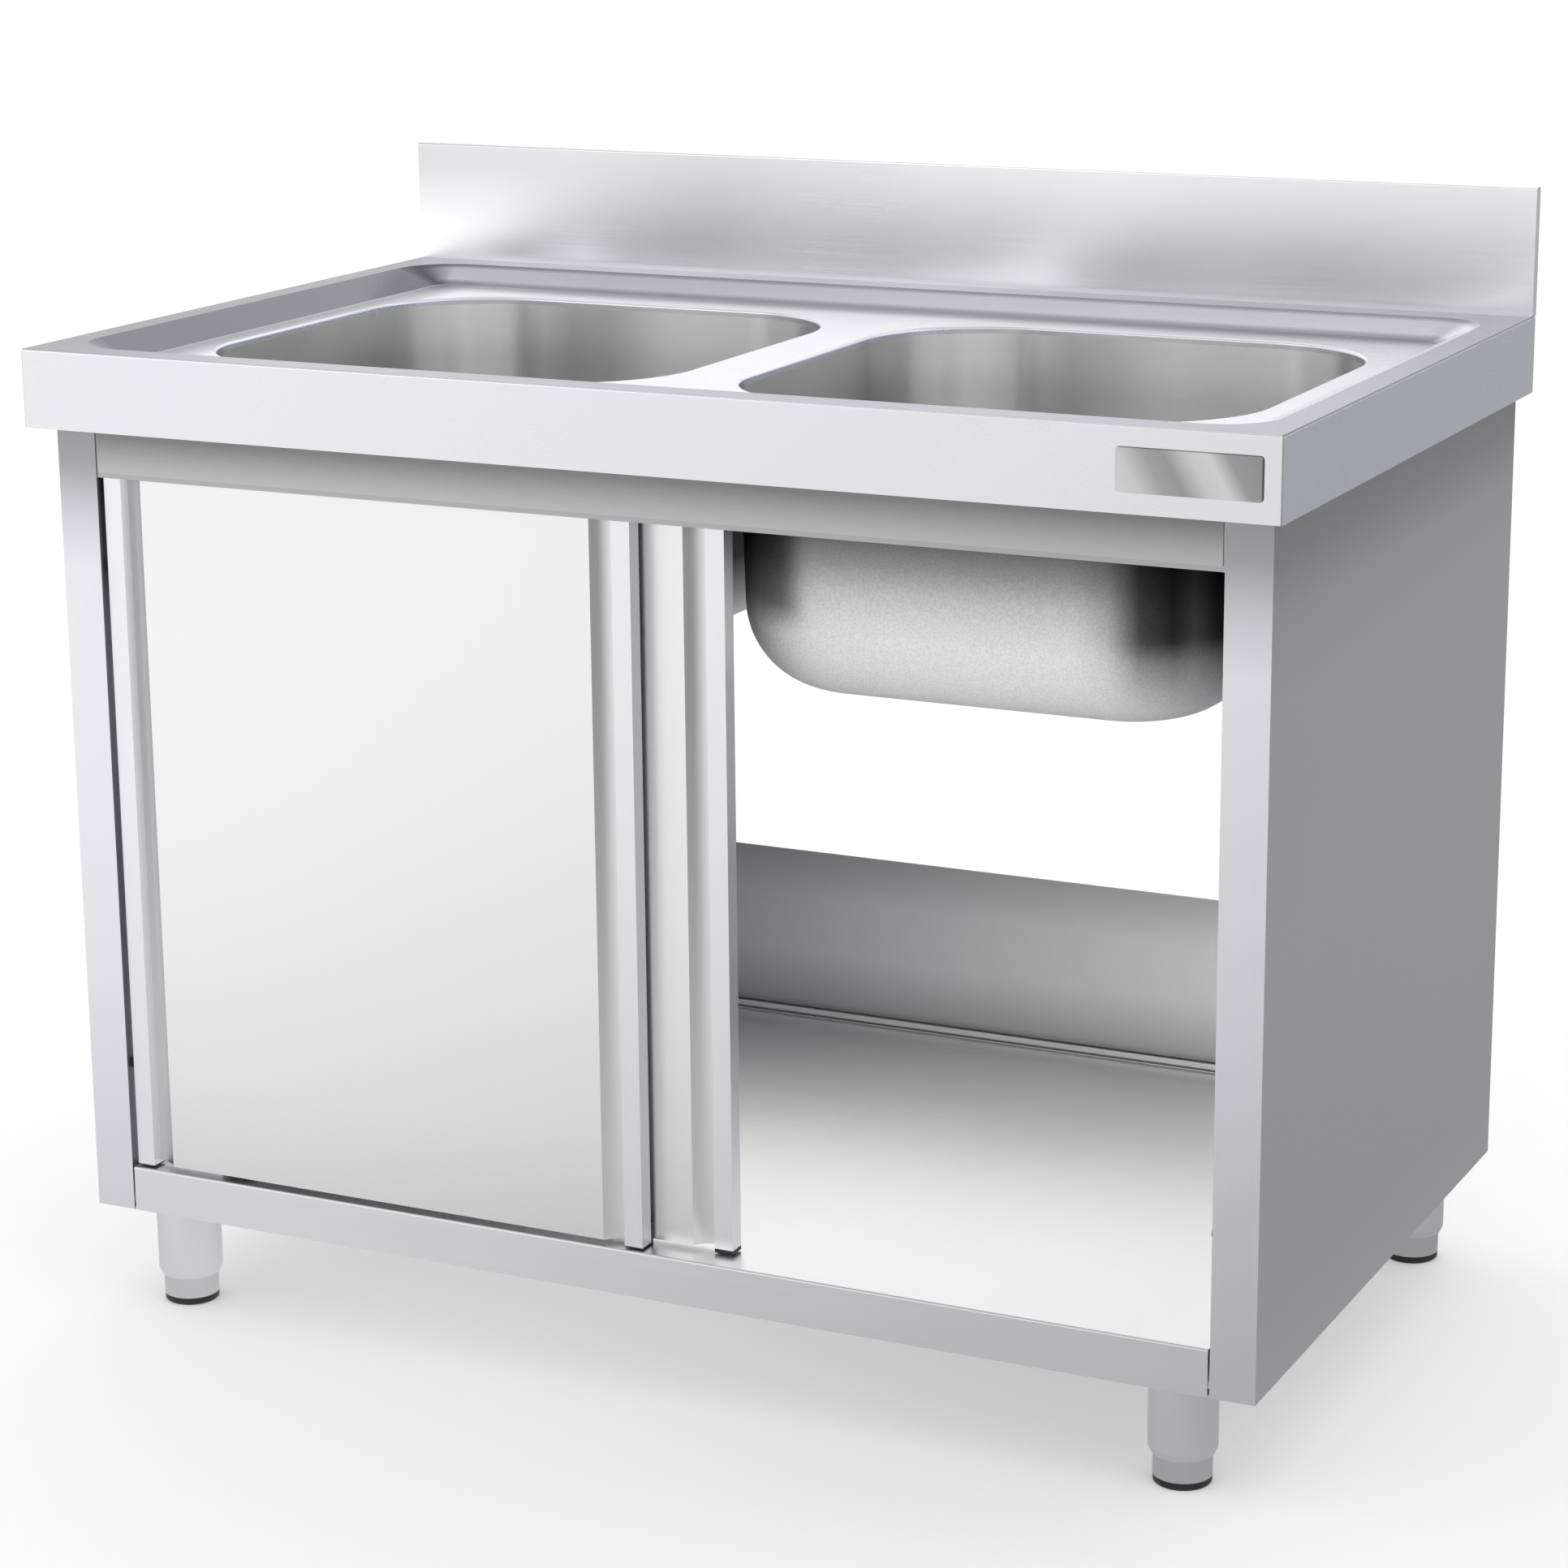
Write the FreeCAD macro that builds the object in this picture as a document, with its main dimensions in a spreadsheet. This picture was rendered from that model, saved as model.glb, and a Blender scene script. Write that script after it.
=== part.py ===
import FreeCAD
import Part
import Sketcher
import math
import operator
import os

# Stainless sink unit: a worktop with two bowls and a splashback, on an open-backed cabinet with two
# sliding doors and four feet that screw in and out. Millimetres, +Z up, +X to the user's right and
# -Y towards the user. The origin is on the floor, under the middle of the unit.

SIZES = {
    # worktop: a folded sheet with a raised rim round a recessed draining deck
    "worktop_length": 1000.0,
    "worktop_depth": 600.0,
    "worktop_height": 770.0,
    "apron_height": 60.0,
    "worktop_sheet": 1.2,
    "worktop_bend": 1.6,
    "apron_return_front": 15.0,
    "apron_return_side": 11.0,
    "rim_side": 22.0,
    "rim_front": 24.0,
    "rim_rear": 38.0,
    "recess_depth": 14.0,
    "recess_slope_run": 33.0,
    "recess_floor_corner": 12.0,
    "recess_floor_radius": 8.0,
    "splash_height": 100.0,
    "splash_thickness": 10.0,
    "badge_length": 104.0,
    "badge_height": 31.0,
    "badge_thickness": 0.6,
    "badge_corner": 3.0,
    "badge_edge_gap": 13.0,
    "badge_height_in_apron": 30.0,
    # bowls
    "basin_gap": 52.0,
    "basin_end_margin": 52.0,
    "basin_front_margin": 60.0,
    "basin_rear_margin": 78.0,
    "basin_depth": 226.0,
    "basin_corner": 98.0,
    "basin_floor_radius": 65.0,
    "basin_draft_angle": 1.5,
    "basin_sheet": 1.0,
    "basin_collar": 6.0,
    "basin_lip_radius": 2.5,
    # wastes
    "waste_behind_centre": 85.0,
    "waste_hole_radius": 26.0,
    "waste_flange_radius": 35.0,
    "waste_flange_thickness": 2.4,
    "waste_throat_radius": 23.0,
    "waste_body_radius": 24.4,
    "waste_outlet_radius": 23.9,
    "waste_outlet_length": 32.0,
    "waste_bore_radius": 20.0,
    "waste_ledge_drop": 2.0,
    "waste_stem_length": 46.0,
    "waste_fit": 0.05,
    "waste_gasket_thickness": 2.5,
    "waste_gasket_radius": 32.0,
    "waste_nut_thickness": 10.0,
    "waste_nut_flats": 64.0,
    "strainer_thickness": 1.2,
    "strainer_fit": 0.3,
    "strainer_hole_radius": 2.0,
    "strainer_inner_ring": 8.0,
    "strainer_outer_ring": 16.0,
    # cabinet
    "side_overhang": 13.0,
    "front_overhang": 23.0,
    "back_inset": 2.0,
    "body_sheet": 1.0,
    "body_bottom": 80.0,
    "post_width": 34.0,
    "post_return": 39.0,
    "rear_flange": 30.0,
    "top_flange": 30.0,
    "base_rail_height": 36.0,
    "base_return": 13.0,
    "rail_end_gap": 1.5,
    "header_drop": 35.0,
    "header_flange": 27.0,
    "stiffener_height": 14.8,
    "stiffener_width": 40.0,
    "stiffener_sheet": 1.2,
    "stiffener_setback": 3.0,
    "centre_stiffener_width": 26.0,
    "rear_rail_height": 40.0,
    "rear_rail_depth": 29.0,
    "shelf_skirt": 30.0,
    "shelf_hem": 8.0,
    "shelf_hem_thickness": 2.6,
    "shelf_hem_bend": 1.2,
    "shelf_stiffener_width": 60.0,
    "shelf_stiffener_height": 20.0,
    "upstand_height": 151.0,
    "screw_hole_radius": 3.3,
    "screw_radius": 3.0,
    "screw_head_radius": 5.5,
    "screw_head_height": 4.0,
    "screw_length": 8.0,
    "screw_inset": 16.0,
    # sliding doors
    "door_overlap": 5.0,
    "door_thickness": 14.0,
    "door_gap": 4.0,
    "door_setback": 4.0,
    "door_end_gap": 3.5,
    "door_sheet": 0.8,
    "door_behind_header": 15.0,
    "door_floor_gap": 1.2,
    "door_panel_floor_gap": 4.0,
    "stile_width": 15.0,
    "stile_sheet": 1.0,
    "pull_width": 18.0,
    "pull_depth": 9.5,
    "rear_door_opened": 66.5,
    "front_glide_height": 1.0,
    "rear_glide_height": 3.0,
    "glide_plug_height": 10.0,
    "glide_plug_gap": 0.2,
    # door track and rollers
    "track_sheet": 1.0,
    "track_lip": 4.0,
    "track_rear_flange": 22.0,
    "track_ledge_gap": 1.5,
    "track_ledge_width": 8.0,
    "wheel_radius": 7.7,
    "wheel_width": 5.0,
    "wheel_rail_gap": 0.3,
    "wheel_top_gap": 1.8,
    "wheel_groove": 0.8,
    "wheel_rim": 1.5,
    "wheel_bevel": 0.5,
    "wheel_to_plate": 1.0,
    "axle_radius": 2.0,
    "axle_fit": 0.05,
    "axle_head_radius": 3.2,
    "axle_head_thickness": 0.8,
    "hanger_inset": 60.0,
    "hanger_length": 44.0,
    "hanger_plate_length": 24.0,
    "hanger_width": 12.0,
    "hanger_base_thickness": 2.0,
    "hanger_sheet": 1.5,
    "hanger_top_gap": 3.0,
    "guide_length": 5.0,
    "guide_side_gap": 0.4,
    "guide_height": 18.0,
    "guide_flange_length": 30.0,
    "guide_flange_width": 16.0,
    "guide_flange_thickness": 3.0,
    "guide_slot_gap": 0.3,
    "buffer_radius": 4.0,
    "buffer_thickness": 3.0,
    "buffer_above_sill": 84.0,
    "buffer_below_header": 75.0,
    # feet
    "front_foot_end_inset": 30.0,
    "rear_foot_end_inset": 46.0,
    "front_foot_inset": 31.0,
    "rear_foot_inset": 50.0,
    "foot_tube_radius": 25.4,
    "foot_tube_wall": 1.5,
    "foot_plate_radius": 28.5,
    "foot_plate_thickness": 3.0,
    "foot_tube_end": 23.0,
    "foot_neck_height": 5.0,
    "foot_neck_wall": 1.2,
    "foot_insert_radius": 21.7,
    "foot_insert_wall": 2.0,
    "foot_insert_height": 46.0,
    "foot_slide_fit": 0.3,
    "foot_pad_height": 6.0,
    "foot_pad_inset": 0.3,
    "foot_pad_plug": 6.0,
    "foot_stem_radius": 8.0,
    "foot_stem_length": 42.0,
    "foot_thread_fit": 0.05,
    "foot_nut_height": 6.0,
    "foot_nut_above_insert": 18.0,
    "foot_hole_gap": 1.2,
}


# ---------------------------------------------------------------- sizes as numbers and as formulas
class Size:
    """A length that keeps its number and the cell formula that gives it."""

    def __init__(self, value, formula):
        self.value = value
        self.formula = formula

    def __add__(self, other):
        return combine(self, "+", other)

    def __radd__(self, other):
        return combine(other, "+", self)

    def __sub__(self, other):
        return combine(self, "-", other)

    def __rsub__(self, other):
        return combine(other, "-", self)

    def __mul__(self, other):
        return combine(self, "*", other)

    def __rmul__(self, other):
        return combine(other, "*", self)

    def __truediv__(self, other):
        return combine(self, "/", other)

    def __neg__(self):
        return combine(-1, "*", self)


OPERATIONS = {"+": operator.add, "-": operator.sub, "*": operator.mul, "/": operator.truediv}


def as_size(number):
    if isinstance(number, Size):
        return number
    return Size(float(number), f"{number:.9g}")


def combine(left, sign, right):
    left = as_size(left)
    right = as_size(right)
    value = OPERATIONS[sign](left.value, right.value)
    return Size(value, f"({left.formula} {sign} {right.formula})")


def slope_angle(run, depth):
    """A slope's angle from the vertical, in degrees, from its run and its depth."""
    value = math.degrees(math.atan2(run.value, depth.value))
    return Size(value, f"atan({run.formula} / {depth.formula})")


def level_thickness(sheet, angle):
    """The thickness of a sloping sheet, measured level."""
    value = sheet.value / math.cos(math.radians(angle.value))
    return Size(value, f"({sheet.formula} / cos({angle.formula}))")


class Cells:
    """The spreadsheet's cells, each read by its alias."""


def fill_spreadsheet(document):
    sheet = document.addObject("Spreadsheet::Sheet", "Sizes")
    cells = Cells()
    for row, (alias, value) in enumerate(SIZES.items(), start=1):
        sheet.set(f"A{row}", alias)
        sheet.set(f"B{row}", str(value))
        sheet.setAlias(f"B{row}", alias)
        setattr(cells, alias, Size(value, f"Sizes.{alias}"))
    return cells


doc = FreeCAD.newDocument("sink_unit")
s = fill_spreadsheet(doc)
doc.recompute()


def bind(item, name, size):
    """Set a property from a size, by its formula where it comes from the sheet."""
    size = as_size(size)
    item.setExpression(name, size.formula)


# ---------------------------------------------------------------- sketches
def new_body(label):
    body = doc.addObject("PartDesign::Body", label)
    body.Label = label
    return body


def move(item, x=0, y=0, z=0):
    """Place a sub-part, with each coordinate bound to the sheet."""
    for letter, size in zip("xyz", (x, y, z)):
        bind(item, f"Placement.Base.{letter}", size)


def new_sketch(body, plane, offset=0):
    """A sketch on one of the body's own origin planes, moved along that plane's normal."""
    sketch = body.newObject("Sketcher::SketchObject", f"{body.Name}_sketch")
    plane = next(item for item in body.Origin.OriginFeatures if item.Role == plane)
    sketch.AttachmentSupport = (plane, [""])
    sketch.MapMode = "FlatFace"
    bind(sketch, "AttachmentOffset.Base.z", offset)
    return sketch


def constrain(sketch, kind, geometry, position, size):
    """A dimension from the sketch origin, bound to the sheet."""
    size = as_size(size)
    if kind == "Radius":
        constraint = Sketcher.Constraint(kind, geometry, size.value)
    else:
        constraint = Sketcher.Constraint(kind, -1, 1, geometry, position, size.value)
    index = sketch.addConstraint(constraint)
    sketch.setExpression(f"Constraints[{index}]", size.formula)


def arc_between(start, end, radius):
    """The arc under a half circle from start to end; a negative radius turns right."""
    chord = end - start
    height = math.sqrt(max(radius * radius - chord.Length * chord.Length / 4, 0))
    side = math.copysign(1, radius)
    left = FreeCAD.Vector(-chord.y, chord.x, 0) / chord.Length
    centre = (start + end) / 2 + left * height * side
    first, last = (start, end) if radius > 0 else (end, start)
    angles = [math.atan2(point.y - centre.y, point.x - centre.x) for point in (first, last)]
    circle = Part.Circle(centre, FreeCAD.Vector(0, 0, 1), abs(radius))
    return Part.ArcOfCircle(circle, *angles)


def draw_outline(sketch, points):
    """Draw a closed outline, with every corner and radius bound to the sheet.

    A point is (x, y), or (x, y, radius) where an arc leads to it: positive turns left.
    """
    base = sketch.GeometryCount
    count = len(points)
    corners = [FreeCAD.Vector(as_size(p[0]).value, as_size(p[1]).value, 0) for p in points]
    ends = []
    radii = []
    for index in range(count):
        following = (index + 1) % count
        start, end = corners[index], corners[following]
        if len(points[following]) == 3:
            radius = as_size(points[following][2])
            sketch.addGeometry(arc_between(start, end, radius.value), False)
            ends.append((1, 2) if radius.value > 0 else (2, 1))
            radii.append((base + index, radius if radius.value > 0 else -radius))
        else:
            sketch.addGeometry(Part.LineSegment(start, end), False)
            ends.append((1, 2))
    for index in range(count):
        following = (index + 1) % count
        joint = (base + index, ends[index][1], base + following, ends[following][0])
        sketch.addConstraint(Sketcher.Constraint("Coincident", *joint))
    for index, point in enumerate(points):
        constrain(sketch, "DistanceX", base + index, ends[index][0], point[0])
        constrain(sketch, "DistanceY", base + index, ends[index][0], point[1])
    for geometry, radius in radii:
        constrain(sketch, "Radius", geometry, 0, radius)


def draw_rectangle(sketch, low_x, high_x, low_y, high_y):
    draw_outline(sketch, [(low_x, low_y), (high_x, low_y), (high_x, high_y), (low_x, high_y)])


def draw_rounded(sketch, low_x, high_x, low_y, high_y, radius):
    draw_outline(sketch, [
        (low_x + radius, low_y, radius),
        (high_x - radius, low_y),
        (high_x, low_y + radius, radius),
        (high_x, high_y - radius),
        (high_x - radius, high_y, radius),
        (low_x + radius, high_y),
        (low_x, high_y - radius, radius),
        (low_x, low_y + radius),
    ])


def draw_circle(sketch, x, y, radius):
    centre = FreeCAD.Vector(as_size(x).value, as_size(y).value, 0)
    circle = Part.Circle(centre, FreeCAD.Vector(0, 0, 1), as_size(radius).value)
    index = sketch.addGeometry(circle, False)
    constrain(sketch, "DistanceX", index, 3, x)
    constrain(sketch, "DistanceY", index, 3, y)
    constrain(sketch, "Radius", index, 0, radius)


# ---------------------------------------------------------------- features
def extrude(kind, sketch, length, reverse, draft):
    body = sketch.getParentGeoFeatureGroup()
    feature = body.newObject(f"PartDesign::{kind}", f"{body.Name}_{kind.lower()}")
    feature.Profile = sketch
    bind(feature, "Length", length)
    feature.Reversed = reverse
    if draft is not None:
        bind(feature, "TaperAngle", draft)
    return feature


def pad(sketch, length, reverse=False, draft=None):
    """Add the sketch's outline over a length, along its normal or the other way."""
    return extrude("Pad", sketch, length, reverse, draft)


def pocket(sketch, length, reverse=False, draft=None):
    """Cut the sketch's outline over a length, against its normal or the other way."""
    return extrude("Pocket", sketch, length, reverse, draft)


def revolve(sketch):
    """Turn a sketch round the vertical axis of its own plane."""
    body = sketch.getParentGeoFeatureGroup()
    feature = body.newObject("PartDesign::Revolution", f"{body.Name}_revolution")
    feature.Profile = sketch
    feature.ReferenceAxis = (sketch, ["V_Axis"])
    feature.Angle = 360
    return feature


def fillet(feature, radius, wanted):
    """Round the edges of a feature that the test picks by their bounding box."""
    doc.recompute()
    names = [f"Edge{number}" for number, edge in enumerate(feature.Shape.Edges, start=1)
             if wanted(edge.BoundBox)]
    body = feature.getParentGeoFeatureGroup()
    rounded = body.newObject("PartDesign::Fillet", f"{body.Name}_fillet")
    rounded.Base = (feature, names)
    bind(rounded, "Radius", radius)
    return rounded


CLOSE = 0.01


def near(first, second):
    return abs(first - as_size(second).value) < CLOSE


def lies_flat_at(box, height):
    return near(box.ZMin, height) and near(box.ZMax, height)


def flat_edges(height):
    """A test that picks every edge that lies flat at one height."""
    return lambda box: lies_flat_at(box, height)


def edges_by_bowls(height):
    """A test that picks the flat edges at one height that belong to the bowls' collars."""
    reach_x = (basin_centre_x + basin_length / 2 + s.worktop_sheet).value + CLOSE
    reach_y = (basin_width / 2 + s.worktop_sheet).value + CLOSE

    def picked(box):
        across = abs(box.Center.y - basin_centre_y.value)
        return lies_flat_at(box, height) and abs(box.Center.x) < reach_x and across < reach_y
    return picked


def plate(label, low_x, high_x, low_y, high_y, low_z, high_z):
    """A plain rectangular sheet or bar as a body of its own."""
    body = new_body(label)
    sketch = new_sketch(body, "XY_Plane", low_z)
    draw_rectangle(sketch, low_x, high_x, low_y, high_y)
    pad(sketch, high_z - low_z)
    return body


def section_along_x(label, points, low_x, high_x):
    """A folded section, drawn as (y, z) points, over a length along X."""
    body = new_body(label)
    sketch = new_sketch(body, "YZ_Plane", low_x)
    draw_outline(sketch, points)
    pad(sketch, high_x - low_x)
    return body


def part_box(low_x, high_x, low_y, high_y, low_z, high_z):
    box = doc.addObject("Part::Box", "block")
    bind(box, "Length", high_x - low_x)
    bind(box, "Width", high_y - low_y)
    bind(box, "Height", high_z - low_z)
    move(box, low_x, low_y, low_z)
    return box


ALONG_X = FreeCAD.Rotation(FreeCAD.Vector(0, 1, 0), 90)
ALONG_Y = FreeCAD.Rotation(FreeCAD.Vector(1, 0, 0), -90)


def part_cylinder(radius, length, x, y, z, turned=None):
    """A round bar that starts at a point and runs along +Z, or along +X or +Y when turned."""
    bar = doc.addObject("Part::Cylinder", "bar")
    bind(bar, "Radius", radius)
    bind(bar, "Height", length)
    if turned is not None:
        bar.Placement = FreeCAD.Placement(FreeCAD.Vector(), turned)
    move(bar, x, y, z)
    return bar


def fuse(*items):
    joined = doc.addObject("Part::MultiFuse", "fused")
    joined.Shapes = list(items)
    return joined


def cut(base, tool):
    remaining = doc.addObject("Part::Cut", "cut")
    remaining.Base = base
    remaining.Tool = tool
    return remaining


def group(label, items):
    """Identical small pieces that share one node, each still a solid of its own."""
    compound = doc.addObject("Part::Compound", label)
    compound.Label = label
    compound.Links = list(items)
    return compound


# ---------------------------------------------------------------- shared places
worktop_end = s.worktop_length / 2
worktop_edge = s.worktop_depth / 2
apron_bottom = s.worktop_height - s.apron_height
rim_underside = s.worktop_height - s.worktop_sheet
deck_top = s.worktop_height - s.recess_depth
deck_underside = deck_top - s.worktop_sheet
recess_end = worktop_end - s.rim_side
recess_front = -worktop_edge + s.rim_front
recess_back = worktop_edge - s.rim_rear

body_end = worktop_end - s.side_overhang
body_inner_end = body_end - s.body_sheet
body_front = -worktop_edge + s.front_overhang
body_back = worktop_edge - s.back_inset
body_top = deck_underside - s.stiffener_height
post_inner = body_end - s.post_width
rail_end = post_inner - s.rail_end_gap
header_bottom = apron_bottom - s.header_drop
sill_top = s.body_bottom + s.base_rail_height
shelf_underside = sill_top - s.body_sheet
upstand_back = body_back - s.body_sheet
upstand_front = upstand_back - s.body_sheet
hem_front = upstand_front - s.shelf_hem_thickness

basin_length = recess_end - s.basin_end_margin - s.basin_gap / 2
basin_width = recess_back - recess_front - s.basin_front_margin - s.basin_rear_margin
basin_centre_x = s.basin_gap / 2 + basin_length / 2
basin_centre_y = recess_front + s.basin_front_margin + basin_width / 2
basin_top = deck_top - s.basin_collar
basin_bottom = deck_top - s.basin_depth
basin_floor = basin_bottom + s.basin_sheet
waste_y = basin_centre_y + s.waste_behind_centre

door_low_x = -post_inner + s.door_end_gap
door_width = s.door_overlap / 2 - door_low_x
door_top = header_bottom + s.door_behind_header
front_door_y = body_front + s.door_setback
rear_door_y = front_door_y + s.door_thickness + s.door_gap
track_middle_y = front_door_y + s.door_thickness + s.door_gap / 2
ledge_bottom = door_top + s.hanger_base_thickness + s.track_ledge_gap
wheel_centre_z = ledge_bottom + s.track_sheet + s.wheel_rail_gap + s.wheel_radius
track_top = wheel_centre_z + s.wheel_radius + s.wheel_top_gap + s.track_sheet

front_foot_x = post_inner - s.front_foot_end_inset
rear_foot_x = body_inner_end - s.rear_foot_end_inset
front_foot_y = body_front + s.front_foot_inset
rear_foot_y = upstand_front - s.rear_foot_inset


# ---------------------------------------------------------------- worktop
def make_worktop():
    """The folded sheet: aprons, raised rim, recessed deck and the collars of both bowls."""
    sheet = s.worktop_sheet
    body = new_body("worktop")

    block = new_sketch(body, "XY_Plane", apron_bottom)
    draw_rectangle(block, -worktop_end, worktop_end, -worktop_edge, worktop_edge)
    solid = pad(block, s.apron_height)

    def is_outer_bend(box):
        upright = near(box.ZMin, apron_bottom) and near(box.ZMax, s.worktop_height)
        return upright or lies_flat_at(box, s.worktop_height)
    fillet(solid, s.worktop_bend, is_outer_bend)

    hollow = new_sketch(body, "XY_Plane", apron_bottom)
    draw_rectangle(hollow, -worktop_end + sheet, worktop_end - sheet,
                   -worktop_edge + sheet, worktop_edge - sheet)
    pocket(hollow, s.apron_height - sheet, reverse=True)

    slope = slope_angle(s.recess_slope_run, s.recess_depth)
    wall = level_thickness(sheet, slope)
    corner = s.recess_slope_run + s.recess_floor_corner
    tray = new_sketch(body, "XY_Plane", s.worktop_height)
    draw_rounded(tray, -recess_end - wall, recess_end + wall, recess_front - wall,
                 recess_back + wall, corner + wall)
    pad(tray, s.recess_depth + sheet, reverse=True, draft=-slope)
    recess = new_sketch(body, "XY_Plane", s.worktop_height)
    draw_rounded(recess, -recess_end, recess_end, recess_front, recess_back, corner)
    recess_cut = pocket(recess, s.recess_depth, draft=-slope)
    rounded = fillet(recess_cut, s.recess_floor_radius, flat_edges(deck_top))
    fillet(rounded, s.recess_floor_radius + sheet, flat_edges(deck_underside))

    half_x = basin_length / 2
    half_y = basin_width / 2
    collars = new_sketch(body, "XY_Plane", basin_top)
    for centre in (-basin_centre_x, basin_centre_x):
        for wall in (0, sheet):
            draw_rounded(collars, centre - half_x - wall, centre + half_x + wall,
                         basin_centre_y - half_y - wall, basin_centre_y + half_y + wall,
                         s.basin_corner + wall)
    pad(collars, deck_top - basin_top)

    openings = new_sketch(body, "XY_Plane", deck_top)
    for centre in (-basin_centre_x, basin_centre_x):
        draw_rounded(openings, centre - half_x, centre + half_x, basin_centre_y - half_y,
                     basin_centre_y + half_y, s.basin_corner)
    opened = pocket(openings, s.basin_collar)
    lipped = fillet(opened, s.basin_lip_radius, edges_by_bowls(deck_top))
    fillet(lipped, s.basin_lip_radius - sheet, edges_by_bowls(deck_underside))

    end, edge = worktop_end, worktop_edge
    side_fold = end - s.apron_return_side
    front_fold = -edge + s.apron_return_front
    returns = new_sketch(body, "XY_Plane", apron_bottom)
    start = s.worktop_bend
    draw_outline(returns, [
        (-end + start, -edge), (end - start, -edge), (end, -edge + start), (end, edge - start),
        (end - start, edge), (side_fold, edge), (side_fold, front_fold), (-side_fold, front_fold),
        (-side_fold, edge), (-end + start, edge), (-end, edge - start), (-end, -edge + start),
    ])
    pad(returns, sheet)


def make_splashback():
    """A hollow upstand, folded forward from the wall side and welded along the rear rim."""
    sheet = s.worktop_sheet
    front = worktop_edge - s.splash_thickness
    top = s.worktop_height + s.splash_height
    body = new_body("splashback")
    block = new_sketch(body, "XY_Plane", s.worktop_height)
    draw_rectangle(block, -worktop_end, worktop_end, front, worktop_edge)
    solid = pad(block, s.splash_height)

    def is_top_fold(box):
        return lies_flat_at(box, top) and box.XLength > CLOSE
    fillet(solid, s.worktop_bend, is_top_fold)
    hollow = new_sketch(body, "XY_Plane", s.worktop_height)
    draw_rectangle(hollow, -worktop_end + sheet, worktop_end - sheet,
                   front + sheet, worktop_edge - sheet)
    pocket(hollow, s.splash_height - sheet, reverse=True)


def make_badge_plate():
    """A blank plate at the right end of the front apron."""
    high_x = worktop_end - s.badge_edge_gap
    middle = apron_bottom + s.badge_height_in_apron
    body = new_body("badge_plate")
    sketch = new_sketch(body, "XZ_Plane", worktop_edge)
    draw_rounded(sketch, high_x - s.badge_length, high_x, middle - s.badge_height / 2,
                 middle + s.badge_height / 2, s.badge_corner)
    pad(sketch, s.badge_thickness)


def make_basin(label, side):
    """A deep-drawn bowl, butt-welded under the worktop's collar, with a hole for its waste."""
    wall = s.basin_sheet
    half_x = basin_length / 2
    half_y = basin_width / 2
    draft = s.basin_draft_angle
    body = new_body(label)
    move(body, basin_centre_x * side, basin_centre_y)

    outside = new_sketch(body, "XY_Plane", basin_top)
    draw_rounded(outside, -half_x - wall, half_x + wall, -half_y - wall, half_y + wall,
                 s.basin_corner + wall)
    pad(outside, basin_top - basin_bottom, reverse=True, draft=-draft)
    inside = new_sketch(body, "XY_Plane", basin_top)
    draw_rounded(inside, -half_x, half_x, -half_y, half_y, s.basin_corner)
    hollow = pocket(inside, basin_top - basin_floor, draft=-draft)
    rounded = fillet(hollow, s.basin_floor_radius, flat_edges(basin_floor))
    fillet(rounded, s.basin_floor_radius + wall, flat_edges(basin_bottom))

    hole = new_sketch(body, "XY_Plane", basin_floor)
    draw_circle(hole, 0, s.waste_behind_centre, s.waste_hole_radius)
    pocket(hole, wall)


def make_waste(name, side):
    """A bowl's waste: flanged body, rubber gasket, backnut and a perforated strainer."""
    centre_x = basin_centre_x * side
    flange_top = basin_floor + s.waste_flange_thickness
    ledge = basin_floor - s.waste_ledge_drop
    stem_bottom = basin_bottom - s.waste_stem_length
    outlet_top = stem_bottom + s.waste_outlet_length
    bevel = s.waste_flange_thickness / 2

    waste = new_body(f"{name}_waste_body")
    move(waste, centre_x, waste_y)
    profile = new_sketch(waste, "XZ_Plane")
    draw_outline(profile, [
        (s.waste_bore_radius, stem_bottom),
        (s.waste_outlet_radius, stem_bottom),
        (s.waste_outlet_radius, outlet_top),
        (s.waste_body_radius, outlet_top),
        (s.waste_body_radius, basin_floor),
        (s.waste_flange_radius, basin_floor),
        (s.waste_flange_radius, flange_top - bevel),
        (s.waste_flange_radius - bevel, flange_top),
        (s.waste_throat_radius, flange_top),
        (s.waste_throat_radius, ledge),
        (s.waste_bore_radius, ledge),
    ])
    revolve(profile)

    gasket_bottom = basin_bottom - s.waste_gasket_thickness
    gasket = new_body(f"{name}_waste_gasket")
    move(gasket, centre_x, waste_y)
    rings = new_sketch(gasket, "XY_Plane", gasket_bottom)
    draw_circle(rings, 0, 0, s.waste_gasket_radius)
    draw_circle(rings, 0, 0, s.waste_body_radius + s.waste_fit)
    pad(rings, s.waste_gasket_thickness)

    nut = new_body(f"{name}_waste_nut")
    move(nut, centre_x, waste_y)
    hexagon = new_sketch(nut, "XY_Plane", gasket_bottom - s.waste_nut_thickness)
    reach = s.waste_nut_flats / (2 * math.cos(math.pi / 6))
    corners = [(reach * math.cos(math.radians(60 * k)), reach * math.sin(math.radians(60 * k)))
               for k in range(6)]
    draw_outline(hexagon, corners)
    draw_circle(hexagon, 0, 0, s.waste_body_radius + s.waste_fit)
    pad(hexagon, s.waste_nut_thickness)

    strainer = new_body(f"{name}_strainer")
    move(strainer, centre_x, waste_y)
    disc = new_sketch(strainer, "XY_Plane", ledge)
    draw_circle(disc, 0, 0, s.waste_throat_radius - s.strainer_fit)
    draw_circle(disc, 0, 0, s.strainer_hole_radius)
    for ring, holes in ((s.strainer_inner_ring, 6), (s.strainer_outer_ring, 12)):
        for number in range(holes):
            angle = 2 * math.pi * number / holes
            draw_circle(disc, ring * math.cos(angle), ring * math.sin(angle),
                        s.strainer_hole_radius)
    pad(disc, s.strainer_thickness)


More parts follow.
